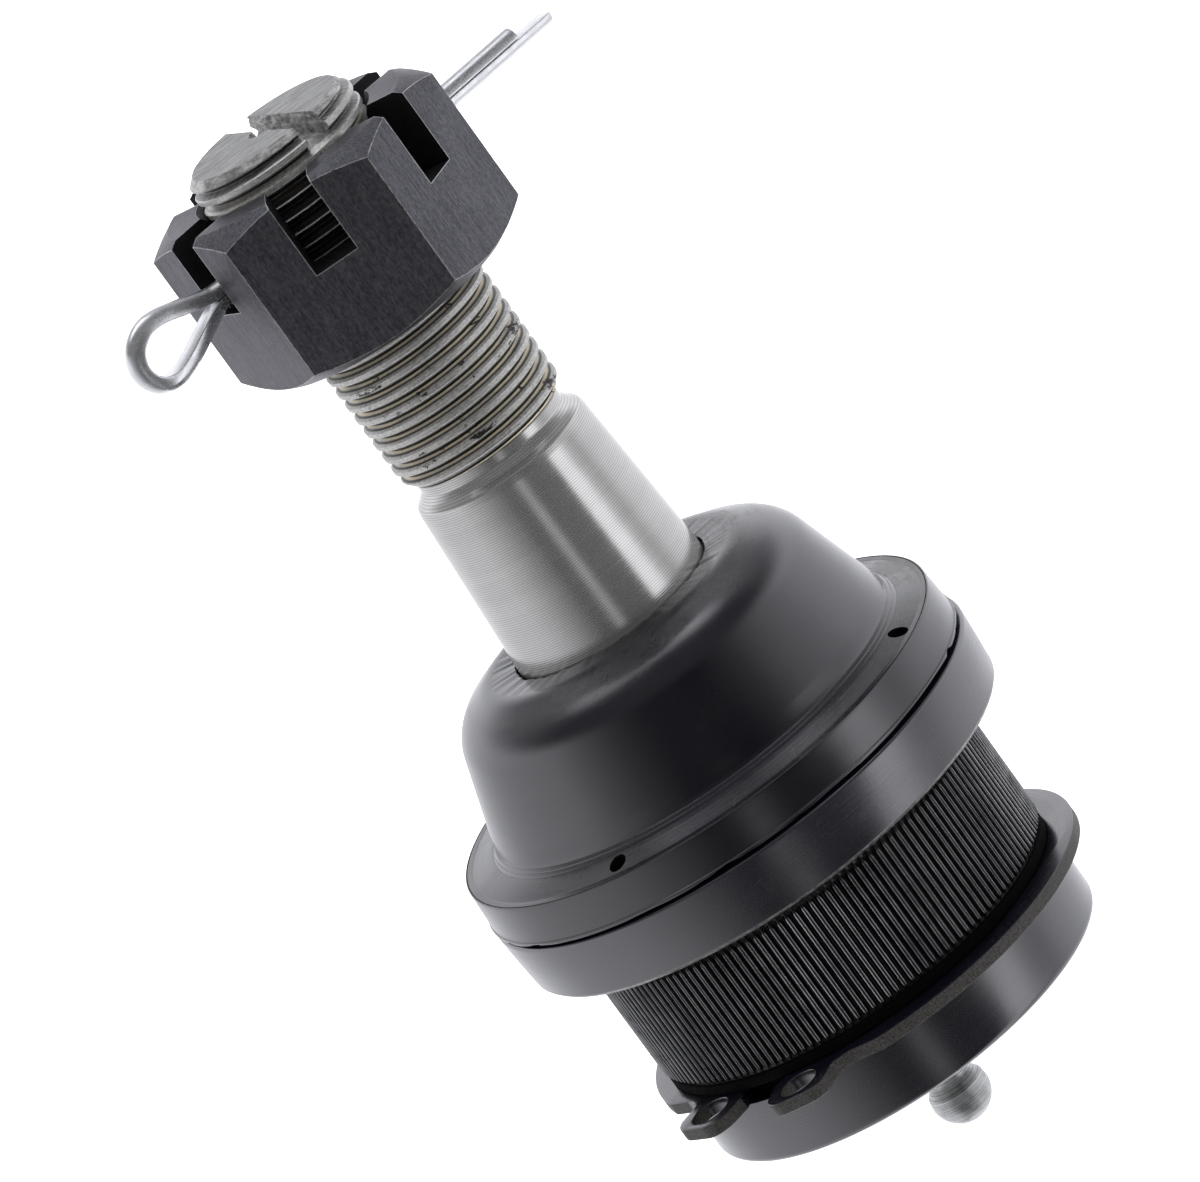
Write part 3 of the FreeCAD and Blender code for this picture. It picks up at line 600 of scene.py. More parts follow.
def cut_steel():
    """Rough sawn and drilled steel of the end slot and the centre mark."""
    f = Finish("cut_steel", metallic=0.85)
    scores = f.noise((900, 900, 3800), detail=4, roughness=0.75)
    patches = f.noise(520, detail=4)
    relief = f.plus(scores, patches)
    clean = f.mix(f.span(relief, 0.75, 1.25), (0.20, 0.197, 0.19), (0.60, 0.595, 0.58))
    dirt = f.times(f.span(f.noise(420, detail=5, roughness=0.75), 0.56, 0.66),
                   f.span(f.radius(), 7.8, 8.4, 0.8, 0.25))
    return f.done(f.mix(dirt, clean, (0.05, 0.045, 0.04)), f.span(patches, 0.3, 0.7, 0.38, 0.55),
                  relief, 0.00012, 0.7)


def turned_face():
    """The stud's end: a face brushed one way."""
    f = Finish("turned_face", metallic=0.9)
    marks = f.noise((330, 4600, 400), detail=5, roughness=0.75)
    patches = f.noise(300)
    tone = f.span(f.plus(f.times(marks, 0.75), f.times(patches, 0.25)), 0.36, 0.62)
    return f.done(f.mix(tone, (0.10, 0.10, 0.10), (0.44, 0.44, 0.435)),
                  f.span(patches, 0.3, 0.7, 0.34, 0.46), marks, 0.00014, 0.75)


def black_oxide():
    """Blackened steel with a sandy, upright brushed grain; a bright line of painted highlight,
    coloured as bare metal, runs along the edges.
    """
    f = Finish("black_oxide", metallic=0.88)
    cloud = f.noise(120)
    grain = f.noise((4200, 4200, 1700), detail=5, roughness=0.85)
    brush = f.noise((2600, 2600, 200), roughness=0.7)
    worn = f.span(f.plus(grain, f.times(brush, 0.35)), 0.48, 0.88)
    body = f.mix(worn, (0.048, 0.048, 0.060), (0.150, 0.150, 0.162))
    # Painted highlight: a bright, bare-looking line along the edges.
    painted_edge_highlight = f.near_edge(0.2, shallow=0.995, steep=0.95, ragged=0.05)
    return f.done(f.mix(painted_edge_highlight, body, (0.62, 0.62, 0.61)),
                  f.span(f.plus(grain, cloud), 0.7, 1.3, 0.36, 0.50),
                  f.plus(grain, f.times(brush, 0.3)), 0.00007, 0.5)


def slot_shade_black():
    """Painted shade: near black for the walls and floors of the nut's slots and for its bore."""
    f = Finish("slot_shade_black", specular=0.3)
    grain = f.noise(2200)
    return f.done(f.mix(grain, (0.0010, 0.0010, 0.0014), (0.0065, 0.0065, 0.0075)),
                  f.span(grain, 0.3, 0.7, 0.5, 0.7), grain, 0.00008, 0.5)


def zinc():
    """Bright zinc plate on drawn wire."""
    f = Finish("zinc", metallic=0.92)
    grain = f.noise(900)
    marks = f.plus(f.noise(160), f.noise((150, 2600, 2600)))
    return f.done(f.mix(f.times(marks, 0.5), (0.66, 0.665, 0.68), (0.90, 0.905, 0.92)),
                  f.span(grain, 0.3, 0.7, 0.22, 0.32), marks, 0.00003, 0.3)


def fitting_zinc():
    """Dull zinc on turned steel, with dark tool marks round it."""
    f = Finish("fitting_zinc", metallic=0.85)
    lines = f.turned_noise(0.0, 7.5, detail=4, roughness=0.8)
    cloud = f.noise(420, detail=4)
    tone = f.span(f.plus(f.times(lines, 0.7), f.times(cloud, 0.3)), 0.38, 0.58)
    return f.done(f.mix(tone, (0.15, 0.152, 0.15), (0.74, 0.745, 0.74)),
                  f.span(cloud, 0.3, 0.7, 0.36, 0.5), lines, 0.00005, 0.5)


def boot_rubber():
    """Moulded rubber with faint mould lines near the rim, and grey patches of painted light on its
    upper faces, most of all towards +X and +Y."""
    f = Finish("boot_rubber", specular=1.0, index=1.64)
    cloud = f.noise(80, detail=4)
    scuff = f.noise((1300, 1300, 1900), detail=5, roughness=0.75)
    fine = f.noise(3200, detail=2)
    rings = f.turned_noise(2.6, 2.6, roughness=0.7)
    low = f.span(f.level(), RIM_TOP + 1.2, RIM_TOP + 2.4, 1.0, 0.12)
    # Which side gets the painted light: most towards +X and +Y.
    side = f.plus(f.times(f.axis("X"), 0.5 / MM), f.times(f.axis("Y"), 0.9 / MM))
    side = f.span(side, -4.0, 14.0, 0.12, 1.0)
    marks = f.plus(cloud, f.plus(scuff, f.times(rings, 0.6)))
    # Painted light: grey patches on the upward faces.
    painted_top_light = f.times(f.span(f.facing((0, 0, 1)), 0.5, 1.0), f.span(marks, 1.16, 1.62))
    painted_top_light = f.times(painted_top_light, side)
    relief = f.plus(f.times(fine, 0.4), f.times(scuff, 0.3))
    return f.done(f.mix(painted_top_light, (0.0018, 0.0019, 0.0042), (0.105, 0.103, 0.100)),
                  f.span(f.plus(painted_top_light, cloud), 0.3, 1.4, 0.20, 0.50),
                  f.plus(relief, f.times(rings, f.times(low, 2.0))), 0.00003, 0.3)


def vent_shade():
    """Places that hardly any light reaches: the boot's small holes and the body's groove."""
    f = Finish("vent_shade", specular=0.1)
    grain = f.noise(2500, detail=2)
    f.set("Base Color", f.mix(grain, (0.0004, 0.0004, 0.0004), (0.0016, 0.0016, 0.0016)))
    f.set("Roughness", f.span(grain, 0.3, 0.7, 0.8, 0.95))
    return f.material


def black_coat(name="black_coat", edge=0.0):
    """Thin black coating on turned steel. edge is the width of a bright line of painted highlight
    along its edges, and a deep black border of painted shade runs inside that line."""
    f = Finish(name, specular=1.0, index=1.78)
    cloud = f.noise(110, detail=4)
    lines = f.turned_noise(3.0, 4.2, roughness=0.7)
    fine = f.noise(2600, detail=2)
    body = f.mix(cloud, (0.0020, 0.0021, 0.0058), (0.0060, 0.0062, 0.0105))
    if edge:
        # Painted shade: a deep black border just inside the edge line.
        painted_edge_shade = f.less(*(f.near_edge(edge * reach, shallow=0.9995, steep=0.995)
                          for reach in (3.4, 2.3)))
        body = f.mix(painted_edge_shade, body, (0.0003, 0.0003, 0.0003))
        # Painted highlight: a bright line along the edges.
        painted_edge_highlight = f.near_edge(edge, ragged=0.06)
        f.set("Metallic", f.times(painted_edge_highlight, 0.7))
        body = f.mix(painted_edge_highlight, body, (0.36, 0.35, 0.33))
    return f.done(body, f.span(f.plus(cloud, lines), 0.7, 1.3, 0.18, 0.28),
                  f.plus(fine, f.times(lines, 0.8)), 0.000012, 0.3)


def sheared_edge():
    """The snap ring's stamped edge: brown-grey with fine dark specks."""
    f = Finish("sheared_edge", metallic=0.6)
    specks = f.noise((9000, 9000, 5000), detail=4, roughness=0.85)
    return f.done(f.mix(f.span(specks, 0.38, 0.64), (0.022, 0.021, 0.021), (0.105, 0.099, 0.091)),
                  0.5, specks, 0.0001, 0.6)


def knurl_coat():
    """The knurl: its roots painted black as shade, darker than the crests, and a bright thin line
    of painted highlight along each crest.
    """
    f = Finish("knurl_coat", specular=0.6)
    breaks = f.noise((260, 260, 700), detail=4)
    wave = f.plus(f.radius(), f.times(f.math("SUBTRACT", breaks, 0.5), 0.05))
    # Painted shade: the roots darker than the crest flats.
    flat = f.span(wave, KNURL_CREST - 0.22, KNURL_CREST - 0.12)
    # Painted highlight: a bright thin line along each crest.
    line = f.span(wave, KNURL_CREST - 0.05, KNURL_CREST - 0.01)
    body = f.mix(flat, (0.0004, 0.0004, 0.0008), (0.0045, 0.0045, 0.007))
    f.set("Metallic", f.times(line, 0.7))
    return f.done(f.mix(line, body, (0.46, 0.46, 0.47)), f.span(breaks, 0.3, 0.7, 0.26, 0.4),
                  breaks, 0.00003, 0.3)


def bright_edge():
    """A bright line of painted highlight for an edge, coloured as grainy steel."""
    f = Finish("bright_edge", metallic=0.85)
    grain = f.noise((1600, 1600, 5200), roughness=0.6)
    return f.done(f.mix(f.span(grain, 0.35, 0.65), (0.06, 0.058, 0.055), (0.26, 0.25, 0.235)),
                  0.38, grain, 0.00003, 0.4)


def dark_steel():
    """Unseen inner pieces."""
    f = Finish("dark_steel", metallic=0.9)
    grain = f.noise(1500)
    return f.done(f.mix(grain, (0.20, 0.20, 0.21), (0.36, 0.36, 0.37)), 0.4, grain, 0.00004, 0.3)


# Stud

def taper_radius(z):
    return TAPER_TOP_RADIUS + (TAPER_TOP - z) * TAPER_SLOPE


def stud_shaft(steel):
    """Ball half, shank, ground taper and neck, up to the thread."""
    lowest = -math.degrees(math.asin(BALL_FLAT / BALL_RADIUS))
    equator = arc((0, BALL_CENTRE), BALL_RADIUS, lowest, 0, 16)
    profile = [(0, BALL_CENTRE - BALL_FLAT)] + equator + rounded([
        (BALL_RADIUS, BALL_CENTRE),
        (9.0, BALL_CENTRE, 0.5),
        (9.0, 18.4, 1.5),
        (taper_radius(TAPER_FOOT), TAPER_FOOT, 0.4),
        (TAPER_TOP_RADIUS, TAPER_TOP, 0.5),
        (9.7, 46.6, 0.6),
        (9.0, 47.2, 0.4),
        (8.35, 48.0, 0.5),
        (8.35, THREAD_FOOT + 0.2),
        (0, THREAD_FOOT + 0.2),
    ])
    return paint(turned("stud_shaft", profile, 288), steel)


def thread_radius(turn_phase):
    """Radius of the thread at a share of the pitch; the crest is at one half."""
    rise = 1 - abs(turn_phase * 2 - 1)
    share = min(max((rise - 0.10) / 0.56, 0.0), 1.0)
    return THREAD_RADIUS - THREAD_DEPTH * (1 - share)


def envelope(z):
    """The thread's largest radius at a height: lead-in at the foot, chamfer at the end."""
    least = 8.4
    foot = least + (z - THREAD_FOOT) * (THREAD_RADIUS - least) / (THREAD_FULL - THREAD_FOOT)
    end = THREAD_RADIUS - (z - (STUD_END - STUD_CHAMFER))
    return min(foot if z < THREAD_FULL else THREAD_RADIUS, end, THREAD_RADIUS)


def stud_thread(steel, face_steel, slot_steel):
    """The helical thread, whose rows follow the helix, with the slot, the mark and the pin hole."""
    columns = 160
    steps = 14
    turns = math.ceil((STUD_END - THREAD_FOOT) / THREAD_PITCH) + 2
    rows = turns * steps
    start = THREAD_START - THREAD_PITCH
    least = 4.0
    vertices = []
    for j in range(rows + 1):
        crest = thread_radius((j % steps) / steps)
        for i in range(columns):
            angle = TURN * i / columns
            z = start + THREAD_PITCH * (j / steps + i / columns)
            r = min(crest, max(envelope(z), least))
            vertices.append((r * math.cos(angle), r * math.sin(angle), z))
    faces = []
    for j in range(rows):
        for i in range(columns - 1):
            a = j * columns + i
            faces.append((a, a + 1, a + columns + 1, a + columns))
    for j in range(rows - steps):
        a = j * columns + columns - 1
        b = (j + steps) * columns
        faces.append((a, b, b + columns, a + columns))
    obj = make_object("stud_thread", vertices, faces, 28)

    def trim(work):
        """Cuts the thread off flat at its foot and at the stud's end, and closes it there."""
        for level, up in ((THREAD_FOOT, -1), (STUD_END, 1)):
            everything = work.verts[:] + work.edges[:] + work.faces[:]
            bmesh.ops.bisect_plane(work, geom=everything, plane_co=(0, 0, level * MM),
                                   plane_no=(0, 0, up), clear_outer=True)
        rim = [e for e in work.edges if e.is_boundary]
        bmesh.ops.holes_fill(work, edges=rim, sides=0)
        bmesh.ops.recalc_face_normals(work, faces=work.faces)

    edit_mesh(obj, trim)
    half = END_SLOT_WIDTH / 2
    slot = block("slot_tool", (-12, -END_SLOT_OFFSET - half, STUD_END - END_SLOT_DEPTH),
                 (12, -END_SLOT_OFFSET + half, STUD_END + 3), END_SLOT_ANGLE)
    roughen(slot, 56, 0.13)
    mark = turned("mark_tool", [(0, STUD_END - 3.4), (0.55, STUD_END - 3.0), (0.6, STUD_END - 2.0),
                                (1.85, STUD_END + 0.1), (1.85, STUD_END + 2), (0, STUD_END + 2)],
                  48)
    way = Vector((math.cos(PIN_ANGLE), math.sin(PIN_ANGLE), 0)) * 14
    level = Vector((0, 0, PIN_LEVEL))
    hole = rod("hole_tool", PIN_HOLE_RADIUS, level - way, level + way)
    for tool in (slot, mark, hole):
        face_normals_out(tool)
    cut(obj, [slot, mark, hole], sharp=28)

    def place(at, normal):
        """0 thread, 1 end face, 2 chamfer, slot and centre mark"""
        if at.z < STUD_END - END_SLOT_DEPTH - 0.15:
            return 0
        beside = at.y * math.cos(END_SLOT_ANGLE) - at.x * math.sin(END_SLOT_ANGLE) + END_SLOT_OFFSET
        if abs(beside) < half + 0.06 or (at.xy.length < 1.9 and normal.z < 0.98):
            return 2
        if normal.z > 0.9:
            return 1
        return 2 if at.z > STUD_END - STUD_CHAMFER and normal.z > 0.35 else 0

    paint_faces(obj, [steel, face_steel, slot_steel], place)
    return obj


# Nut

def castle_nut(black, slot_shade):
    """Slotted hexagon nut, both faces chamfered, with its slots and bore painted near black as
    shade.
    """
    obj = hexagon("castle_nut", NUT_ACROSS, NUT_FOOT, NUT_TOP,
                  [PIN_ANGLE + math.radians(30 + 60 * i) for i in range(6)])
    reach = NUT_ACROSS / math.sqrt(3) + 1.5
    fall = (reach - NUT_CHAMFER_RADIUS) * math.tan(math.radians(30))
    bore = THREAD_RADIUS + 0.1
    body = turned("nut_body_tool", [
        (bore + 0.7, NUT_FOOT), (NUT_CHAMFER_RADIUS, NUT_FOOT), (reach, NUT_FOOT + fall),
        (reach, NUT_TOP - fall), (NUT_CHAMFER_RADIUS, NUT_TOP), (bore + 0.7, NUT_TOP),
        (bore, NUT_TOP - 0.9), (bore, NUT_FOOT + 0.9)], 240, closed=True)
    cut(obj, [face_normals_out(body)], "INTERSECT")
    half = NUT_SLOT_WIDTH / 2
    turns = [PIN_ANGLE + math.radians(60 * i) for i in range(3)]
    cut(obj, [block("slot_tool", (-20, -half, NUT_SLOT_FLOOR), (20, half, NUT_TOP + 2), turn)
              for turn in turns])

    def place(at, normal):
        """0 outer faces, 1 slots and bore"""
        if at.xy.length < bore + 0.5:
            return 1
        if at.z > NUT_SLOT_FLOOR - 0.02:
            for turn in turns:
                across = Vector((-math.sin(turn), math.cos(turn), 0))
                wall = abs(normal.dot(across)) > 0.95 or at.z < NUT_SLOT_FLOOR + 0.02
                if wall and abs(at.dot(across)) < half + 0.02:
                    return 1
        return 0

    # The slots' walls and floors and the bore get painted shade.
    paint_faces(obj, [black, slot_shade], place)
    return bevelled(obj, 0.1, 2, 28, 22)


# Split pin

def smooth_path(points, steps=8):
    """A Catmull-Rom curve through points."""
    path = []
    for i in range(len(points) - 1):
        p0 = points[max(i - 1, 0)]
        p1, p2 = points[i], points[i + 1]
        p3 = points[min(i + 2, len(points) - 1)]
        for k in range(steps):
            t = k / steps
            path.append(0.5 * ((2 * p1) + (p2 - p0) * t + (2 * p0 - 5 * p1 + 4 * p2 - p3) * t * t
                               + (3 * p1 - p0 - 3 * p2 + p3) * t ** 3))
    path.append(points[-1])
    return path


def cotter_pin(metal):
    """Half-round wire: out along the lower leg, round the eye and back along the upper leg."""
    gap = 0.04
    # along the pin and up from its level
    flat = [
        (-PIN_LONG, -gap), (-20, -gap), (-8, -gap), (6, -gap), (13.6, -gap), (15.4, -0.25),
        (17.6, -1.0), (20.4, -2.1), (22.4, -2.6), (23.9, -2.2), (24.6, -1.1), (24.55, 0.1),
        (23.8, 1.2), (22.3, 1.9), (20.5, 1.75), (18.2, 1.0), (15.6, 0.25), (13.6, gap),
        (6, gap), (-8, gap), (-20, gap), (-PIN_SHORT, gap),
    ]
    along = Vector((-math.cos(PIN_ANGLE), -math.sin(PIN_ANGLE), 0))
    up = Vector((0, 0, 1))
    points = [along * u + up * (w + PIN_LEVEL) for u, w in flat]
    out_of_plane = along.cross(up)
    radius = PIN_RADIUS - gap
    soft = 0.22
    section = rounded([(0, 0), (-radius, 0, soft)] + [
        (x, y) for x, y in arc((0, 0), radius, 172, 8, 16)] + [(radius, 0, soft), (0, 0)], 3)[:-1]

    def depth(place):
        """The wire is flattened less where it forms the eye."""
        return 1.0 + 0.28 * min(max((place.dot(along) - 12.0) / 6.0, 0.0), 1.0)

    obj = swept("cotter_pin", smooth_path(points), section, -out_of_plane, depth, 50)
    return paint(bevelled(face_normals_out(obj), 0.2, 3, 60, 50), metal)


# Pressed body

def housing_shell(coat, edge, shade):
    """Flange, land, ring groove, pilot, rolled lip and the inside, without the knurl."""
    flange = turned("flange", rounded([
        (15.9, 9.7), (23.4, 9.7, 0.4), (23.4, FLANGE_TOP, 0.2), (28.2, FLANGE_TOP, 0.35),
        (28.0, 3.5, 1.0), (27.75, 0.45, 0.3), (27.35, 0, 0.2), (23.2, 0, 0.5),
        (22.35, KNURL_TOP - 0.3),
    ]), 320)
    # The flange's lower outer edge gets a bright line of painted highlight.
    paint_faces(flange, [coat, edge],
                lambda at, normal: 1 if -0.3 < at.z < 0.42 and at.xy.length > 27.25 else 0)
    foot = turned("pilot", rounded([
        (22.3, KNURL_FOOT + 0.2), (22.35, KNURL_FOOT, 0.1), (PILOT_RADIUS, KNURL_FOOT - 0.15, 0.1),
        (PILOT_RADIUS, GROOVE_TOP, 0.15), (GROOVE_RADIUS, GROOVE_TOP, 0.1),
        (GROOVE_RADIUS, GROOVE_FOOT, 0.1), (PILOT_RADIUS, GROOVE_FOOT, 0.15),
        (PILOT_RADIUS, BODY_FOOT, 0.85), (15.6, BODY_FOOT, 0.4), (15.6, -24.6),
    ]), 320)
    # The land under the knurl and the ring groove are painted near black as shade.
    paint_faces(foot, [coat, shade], lambda at, normal: 1 if at.z > GROOVE_FOOT - 0.05 else 0)
    inside = turned("socket", [(17.5, -24.6), (17.5, -22.2), (15.9, -22.2), (15.9, BALL_CENTRE)]
                    + arc((0, BALL_CENTRE), 15.8, 0, 30.6, 14) + [(15.9, 9.7)], 160)
    return [flange, foot, paint(inside, coat)]


def knurl(coat):
    """Straight teeth whose ends run out in points."""
    across = 8
    middle = (across - 1) / 2
    columns = KNURL_TEETH * across
    levels = [(KNURL_TOP - 0.25, 0.0), (KNURL_TOP - 0.5, 0.06), (KNURL_TOP - 0.9, 0.4),
              (KNURL_TOP - 1.4, 0.8), (KNURL_TOP - 1.7, 1.0), (-4, 1.0), (-8, 1.0), (-12, 1.0),
              (KNURL_FOOT + 0.9, 1.0), (KNURL_FOOT + 0.6, 0.7), (KNURL_FOOT + 0.25, 0.25),
              (KNURL_FOOT, 0.0)]
    shape = [0.0, 0.40, 1.0, 0.82, 0.82, 1.0, 0.40, 0.0]

    def point(i, z, height):
        tooth, step = divmod(i, across)
        chip = noise.noise(Vector((tooth * 0.37, z * 0.35, 4.2))) * 0.05
        share = shape[step] * min(height * 1.5, 1.0)
        if 0 < step < across - 1:
            step = middle + (step - middle) * (0.08 + 0.92 * height)
        r = KNURL_ROOT + (KNURL_CREST - KNURL_ROOT) * share * (1 + chip)
        angle = TURN * (tooth + step / across) / KNURL_TEETH
        return r * math.cos(angle), r * math.sin(angle), z

    vertices = [point(i, z, height) for z, height in levels for i in range(columns)]
    faces = []
    for low in range(0, (len(levels) - 1) * columns, columns):
        for i in range(columns):
            k = (i + 1) % columns
            faces.append((low + k, low + i, low + columns + i, low + columns + k))
    return paint(make_object("knurl", vertices, faces, 30), coat)


def cover_plate(coat):
    """Domed bottom cover."""
    return paint(turned("cover_plate", rounded([
        (3.2, -25.2), (3.2, COVER_FOOT, 0.1), (8.6, COVER_FOOT, 2.2), (12.4, -24.6, 2.2),
        (17.4, -24.6, 0.1), (17.4, -22.2, 0.1), (11.4, -22.2, 1.4), (7.7, -25.2, 1.4),
        (3.2, -25.2)]), 128), coat)


def grease_fitting(metal):
    """Hexagon, neck and ball head."""
    foot = COVER_FOOT
    hex_foot = foot - 3.5
    neck_foot = hex_foot - 2.1
    cheek_foot = neck_foot - 1.1
    centre = cheek_foot - 0.9
    nose = centre - 2.94
    bar = [(1.15, -23.4), (3.15, -23.4), (3.15, foot), (2.3, hex_foot)]
    neck = rounded([(2.3, hex_foot), (2.3, neck_foot, 0.4), (3.12, cheek_foot, 0.12),
                    (3.22, centre, 0.5)])
    mouth = rounded([(1.5, nose + 0.06), (1.38, nose, 0.05), (0.65, nose, 0.06),
                     (0.65, nose + 0.8)])
    head = turned("grease_head", bar + neck + arc((0, centre), 3.25, -5, -62, 14) + mouth, 96)
    nut = hexagon("grease_hexagon", 7.94, hex_foot, foot, [TURN * i / 6 for i in range(6)])
    return [paint(head, metal), paint(bevelled(nut, 0.2, 3, 30, 35), metal)]


# Snap ring

def spoke(degrees):
    """A flat arrow of length 1 at an angle."""
    return Vector((math.cos(math.radians(degrees)), math.sin(math.radians(degrees))))


def ring_outline():
    """The flat outline of the snap ring, from one side of its gap round to the other."""
    half_gap = RING_GAP / 2
    half = LUG_WIDTH / 2
    tip_fillet = 2.2
    lug = spoke(LUG_SWING)
    across = Vector((-lug.y, lug.x))
    out_angle = LUG_SWING + 21.0
    gap_edge = (math.sqrt(RING_BORE ** 2 - half_gap ** 2), half_gap)
    corners = [(lug * 23.6 - across * half, 0.6), (lug * LUG_REACH - across * half, tip_fillet),
               (lug * LUG_REACH + across * half, tip_fillet),
               (lug * 24.3 + across * (half + 0.2), 1.0), (spoke(LUG_SWING + 12.5) * 23.95, 4.0)]
    side = [gap_edge] + rounded([gap_edge] + [(at.x, at.y, fillet) for at, fillet in corners]
                                + [tuple(spoke(out_angle) * RING_RADIUS)], 6)[1:]
    start = math.degrees(math.asin(half_gap / RING_BORE))
    back = arc((0, 0), RING_RADIUS, out_angle + 2, 360 - out_angle - 2, 150)
    bore = arc((0, 0), RING_BORE, 360 - start - 1.5, start + 1.5, 150)
    return side + back + [(x, -y) for x, y in reversed(side)] + bore


def snap_ring(coat, edge):
    """Open ring with two drilled lugs; its outer edge is bare and grainy."""
    curve = bpy.data.curves.new("snap_ring", "CURVE")
    curve.dimensions = "2D"
    curve.fill_mode = "BOTH"
    holes = []
    for sign in (-1, 1):
        swing = math.radians(LUG_SWING * sign)
        centre = (LUG_HOLE_CIRCLE * math.cos(swing), LUG_HOLE_CIRCLE * math.sin(swing))
        holes.append(arc(centre, LUG_HOLE_RADIUS, 0, 352.5, 47))
    bevel = 0.12
    for loop in [ring_outline()] + holes:
        spline = curve.splines.new("POLY")
        spline.points.add(len(loop) - 1)
        for point, (x, y) in zip(spline.points, loop):
            point.co = (x * MM, y * MM, 0, 1)
        spline.use_cyclic_u = True
    curve.extrude = (RING_THICKNESS / 2 - bevel) * MM
    curve.bevel_depth = bevel * MM
    curve.bevel_resolution = 2
    curve.offset = -bevel * MM
    holder = bpy.data.objects.new("snap_ring_curve", curve)
    bpy.context.scene.collection.objects.link(holder)
    bpy.context.view_layer.update()
    graph = bpy.context.evaluated_depsgraph_get()
    mesh = bpy.data.meshes.new_from_object(holder.evaluated_get(graph))
    bpy.data.objects.remove(holder, do_unlink=True)
    middle = Vector((*RING_SHIFT, RING_LOW + RING_THICKNESS / 2)) * MM
    mesh.transform(Matrix.Translation(middle)
                   @ Matrix.Rotation(math.radians(RING_GAP_ANGLE), 4, "Z"))
    obj = link("snap_ring", mesh, 40)
    edit_mesh(obj, lambda work: bmesh.ops.remove_doubles(work, verts=work.verts, dist=1e-6))
    face_normals_out(obj)
    paint_faces(obj, [coat, edge],
                lambda at, normal: 1 if abs(normal.z) < 0.3 and at.xy.length > 24.0 else 0)
    return obj


# Boot

def lower_outline():
    """The outer line from the rim's foot over its top edge and three mould lines up the bell."""
    return rounded([
        (24.9, RIM_FOOT), (28.05, RIM_FOOT, 0.2), (28.03, RIM_FOOT + 0.44, 0.05),
        (27.88, RIM_FOOT + 0.52, 0.03), (27.60, RIM_TOP - 0.02, 0.14), (27.47, RIM_TOP, 0.03),
        (RIM_LINE, RIM_TOP - 0.09, 0.02), (27.35, RIM_TOP, 0.03), (26.7, RIM_TOP, 0.5),
        (24.20, 12.50, 0.05), (24.14, 12.47, 0.02), (24.08, 12.57, 0.05),
        (23.87, 12.80, 0.05), (23.80, 12.80, 0.02), (23.76, 12.91, 0.05),
        (23.53, 13.14, 0.05), (23.46, 13.15, 0.02), (23.43, 13.26, 0.05), (23.33, 13.5, 0.3),
        (22.97, 14.9, 3.0), (SEAM_RADIUS, BELL_SEAM),
    ], 3)


def rim_seat(radius, z):
    """How far the rim's outside sits aside in X, and its tip in Y."""
    rise = min(max((z - RIM_FOOT) / (RIM_TOP - RIM_FOOT), 0.0), 1.0)
    share = min(max((radius - RIM_TRUE) / (RIM_LINE - RIM_TRUE), 0.0), 1.0)
    aside = RIM_ASIDE_FOOT + (RIM_ASIDE_TOP - RIM_ASIDE_FOOT) * rise
    return aside * share, RIM_TIP * rise * share


def boot_rim_wobble(angle, radius, z):
    """The rim's seat and the moulded rubber's small unevenness, largest along its lower edge."""
    aside, tip = rim_seat(radius, z)
    around = Vector((math.cos(angle) * 5, math.sin(angle) * 5, z * 0.4))
    ripple = noise.noise(around) * 0.02
    edge = max(0.0, 1 - (z - RIM_FOOT) / 0.5) if z < RIM_FOOT + 0.5 else 0.0
    nick = max(noise.noise(around * 2.3) - 0.26, 0.0) * 0.5 * edge
    nick += max(noise.noise(around * 0.7) + 0.05, 0.0) * 0.22 * edge
    out = radius + aside * math.cos(angle) + ripple - nick
    return out, z + tip * radius * math.sin(angle) + nick * 1.1


def boot_lip_wobble(angle, radius, z):
    """The ragged flash where the lip meets the taper."""
    if radius > 12.0 or z < BOOT_TOP - 1.0:
        return radius, z
    around = Vector((math.cos(angle) * 9, math.sin(angle) * 9, 1.7))
    flash = noise.noise(around) * 0.16 + noise.noise(around * 3.7) * 0.08
    return max(radius + flash, taper_radius(z) + 0.04), z + noise.noise(around * 2.1) * 0.12


def boot_lower(rubber):
    """The rim and the bell's foot, with the tools that cut its small holes."""
    outer = lower_outline()
    dense = []
    for a, b in zip(outer, outer[1:]):
        steps = max(1, int(math.dist(a, b) / 0.5))
        dense += [(a[0] + (b[0] - a[0]) * k / steps, a[1] + (b[1] - a[1]) * k / steps)
                  for k in range(steps)]
    dense.append(outer[-1])
    bore = BELL_RADIUS - BOOT_WALL
    inner = [(SEAM_RADIUS - BOOT_WALL, BELL_SEAM), (bore, 14.5), (bore, 10.8), (24.9, 10.8)]
    obj = turned("boot_lower", inner + dense, 384, wobble=boot_rim_wobble)
    tools = []
    for angle in VENT_ANGLES:
        x = VENT_CIRCLE * math.cos(math.radians(angle))
        y = VENT_CIRCLE * math.sin(math.radians(angle))
        tool = rod("vent_tool", VENT_RADIUS, (x, y, VENT_FLOOR), (x, y, RIM_TOP + 2), 32)
        tools.append(face_normals_out(tool))
    return paint(face_normals_out(obj), rubber), tools


def in_vent(at, normal):
    """Whether a face of the boot lies on the wall or floor of one of its small holes."""
    turn = math.degrees(math.atan2(at.y, at.x)) % 360
    centre = spoke(min(VENT_ANGLES, key=lambda angle: abs(angle - turn))) * VENT_CIRCLE
    inside = (at.xy - centre).length < VENT_RADIUS + 0.02
    return inside and (abs(normal.z) < 0.5 or at.z < RIM_TOP - 0.6)


def in_groove(at, normal):
    """Whether a face lies in the fine moulded line along the rim's top edge."""
    reach = (at.xy - Vector((RIM_ASIDE_TOP, 0))).length
    return abs(reach - RIM_LINE) < 0.06 and 0.2 < normal.z < 0.98


